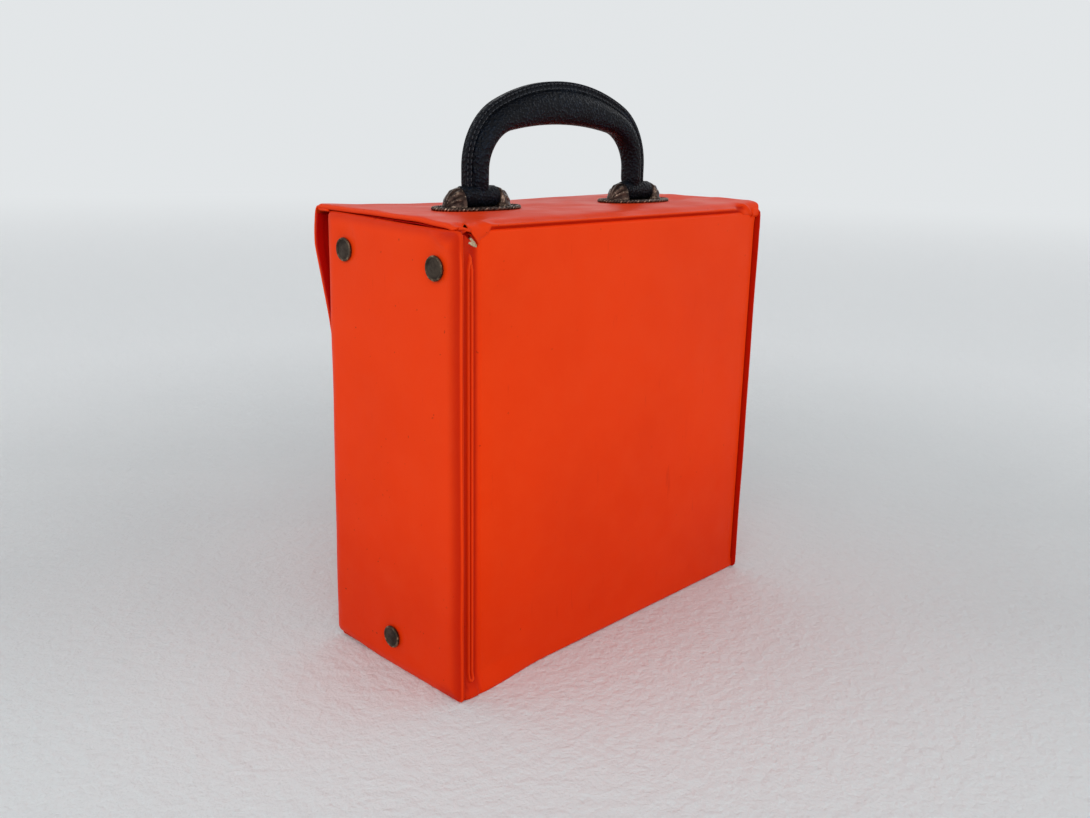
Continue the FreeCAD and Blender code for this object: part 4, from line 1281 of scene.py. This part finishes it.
def make_stitches():
    """Two rows of stitches along each face of the welt."""
    outer, inner = arch_frame(120)
    toward = inner - outer
    toward /= np.linalg.norm(toward, axis=1)[:, None]
    stitches = []
    for drop in STITCH_ROWS:
        line = outer + toward * drop
        lengths = np.concatenate([[0], np.cumsum(np.linalg.norm(np.diff(line, axis=0), axis=1))])
        count = int(lengths[-1] // STITCH_PITCH)
        for k in range(1, count):
            ends = []
            for reach in (k * STITCH_PITCH, k * STITCH_PITCH + STITCH_LENGTH):
                ends.append([np.interp(reach, lengths, line[:, axis]) for axis in (0, 1)])
            for y in (-WELT_HALF - 0.05, WELT_HALF + 0.05):
                start, end = [(x, y, z) for x, z in ends]
                stitches.append(capsule(start, end, STITCH_RADIUS))
    points, faces, _ = joined_parts(stitches)
    piece = make_object("handle_stitches", points, faces, THREAD)
    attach(piece, "handle")


def make_loops():
    """Leather rolled round each bar."""
    for side, name in ((1, "right"), (-1, "left")):
        points, faces, _ = turned(LOOP_PROFILE, (side * FITTING_X, 0, BAR_Z), (1, 0, 0))
        faces = [face[::-1] for face in faces]
        piece = make_object(name + "_leather_loop", points, faces, LEATHER)
        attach(piece, "handle")
        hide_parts(name + "_handle_loop")


# Torn corner: the frayed edge of the back board shows through the tear

BOARD_SHARES = (0.6, 0.97)  # the stretch of the tear in which the board shows
BOARD_DEPTH = 2.6  # behind the wall's face
BOARD_WIDTH = 2.3


def torn_board():
    rows = []
    for share in np.linspace(-0.3, 1.15, 9):
        row = []
        for k, along in enumerate(np.linspace(*BOARD_SHARES, 26)):
            x = TEAR_TOP[0] + (TEAR_FOOT[0] - TEAR_TOP[0]) * along
            z = TEAR_TOP[1] + (TEAR_FOOT[1] - TEAR_TOP[1]) * along
            width = BOARD_WIDTH * math.sin(math.pi * min(1.0, along * 0.9 + 0.08)) + 0.5
            dent = 0.5 * math.sin(k * 1.9 + share * 7) + 0.35 * math.sin(k * 4.1 + share * 3)
            row.append((x + share * width * 0.5, WALL_FACE - BOARD_DEPTH + 0.3 * dent,
                        z - share * width))
        rows.append(row)
    grid = np.array(rows)
    piece = make_sheet("torn_board_corner", grid[..., 0], grid[..., 1], grid[..., 2], BOARD,
                       {"painted_shade": 0 * grid[..., 0], "wear_and_highlight": 0 * grid[..., 0]}, 1.0)
    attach(piece, "case")


# Stage

FLOOR_HALF = 20000
LIGHT_PLACE = Vector((950, 900, 1150))
LIGHT_AIM = Vector((0, 0, 120))
LIGHT_SIZE = 1.0  # metres
LIGHT_POWER = 5.4  # watts


def make_floor():
    low, high = -FLOOR_HALF, FLOOR_HALF
    floor = make_object("floor", [(low, low, 0), (high, low, 0), (high, high, 0), (low, high, 0)],
                        [(0, 1, 2, 3)], floor_material("floor"))


def make_sky():
    """Soft light from all round, brightest just above the horizon."""
    world = bpy.data.worlds.new("studio")
    world.use_nodes = True
    tree = world.node_tree
    direction = add(tree, "ShaderNodeTexCoord").outputs["Generated"]
    height = add(tree, "ShaderNodeSeparateXYZ", {"Vector": direction}).outputs["Z"]
    sky = mix(tree, ramp(tree, height, 0.16, 0.34), HORIZON, (1.12, 1.13, 1.15, 1))
    sky = mix(tree, ramp(tree, height, 0.5, 0.85), sky, (0.30, 0.31, 0.32, 1))
    tree.links.new(sky, tree.nodes["Background"].inputs["Color"])
    bpy.context.scene.world = world
    bpy.context.scene.view_settings.view_transform = "Standard"


def make_light():
    data = bpy.data.lights.new("overhead", "AREA")
    data.size = LIGHT_SIZE
    data.energy = LIGHT_POWER
    light = new_object("overhead", data)
    turn = (LIGHT_AIM - LIGHT_PLACE).to_track_quat("-Z", "Y").to_matrix().to_4x4()
    light.matrix_world = Matrix.Translation(LIGHT_PLACE * MM) @ turn


finish_cad_nodes()
case_walls()
end_panel(1)
end_panel(-1)
for side in ("right", "left"):
    inner_board(side + "_end_stiffener", side + "_end_board", axis=0, margin=4.5, gap=0.5)
inner_board("back_stiffener", "back_board", axis=1, margin=6.5, gap=0.3)
inner_board("front_stiffener", "front_board", axis=1, margin=6.5, gap=0.3)
make_rivets()
lid_cover()
warped_slab("lid_stiffener", "lid_board", inset=5.0, material=BOARD)
warped_slab("lid_liner", "lid_lining", inset=2.0, material=LINING)
flap_cover()
flap_layer("flap_stiffener", "flap_board", depth=0.8, thickness=1.2, inset=5.2, first_drop=5.2,
           material=BOARD)
flap_layer("flap_liner", "flap_lining", depth=2.0, thickness=0.6, inset=0.0, first_drop=1.7,
           material=LINING)
make_fittings()
make_grip()
make_welt()
make_stitches()
make_loops()
torn_board()
make_floor()
make_sky()
make_light()
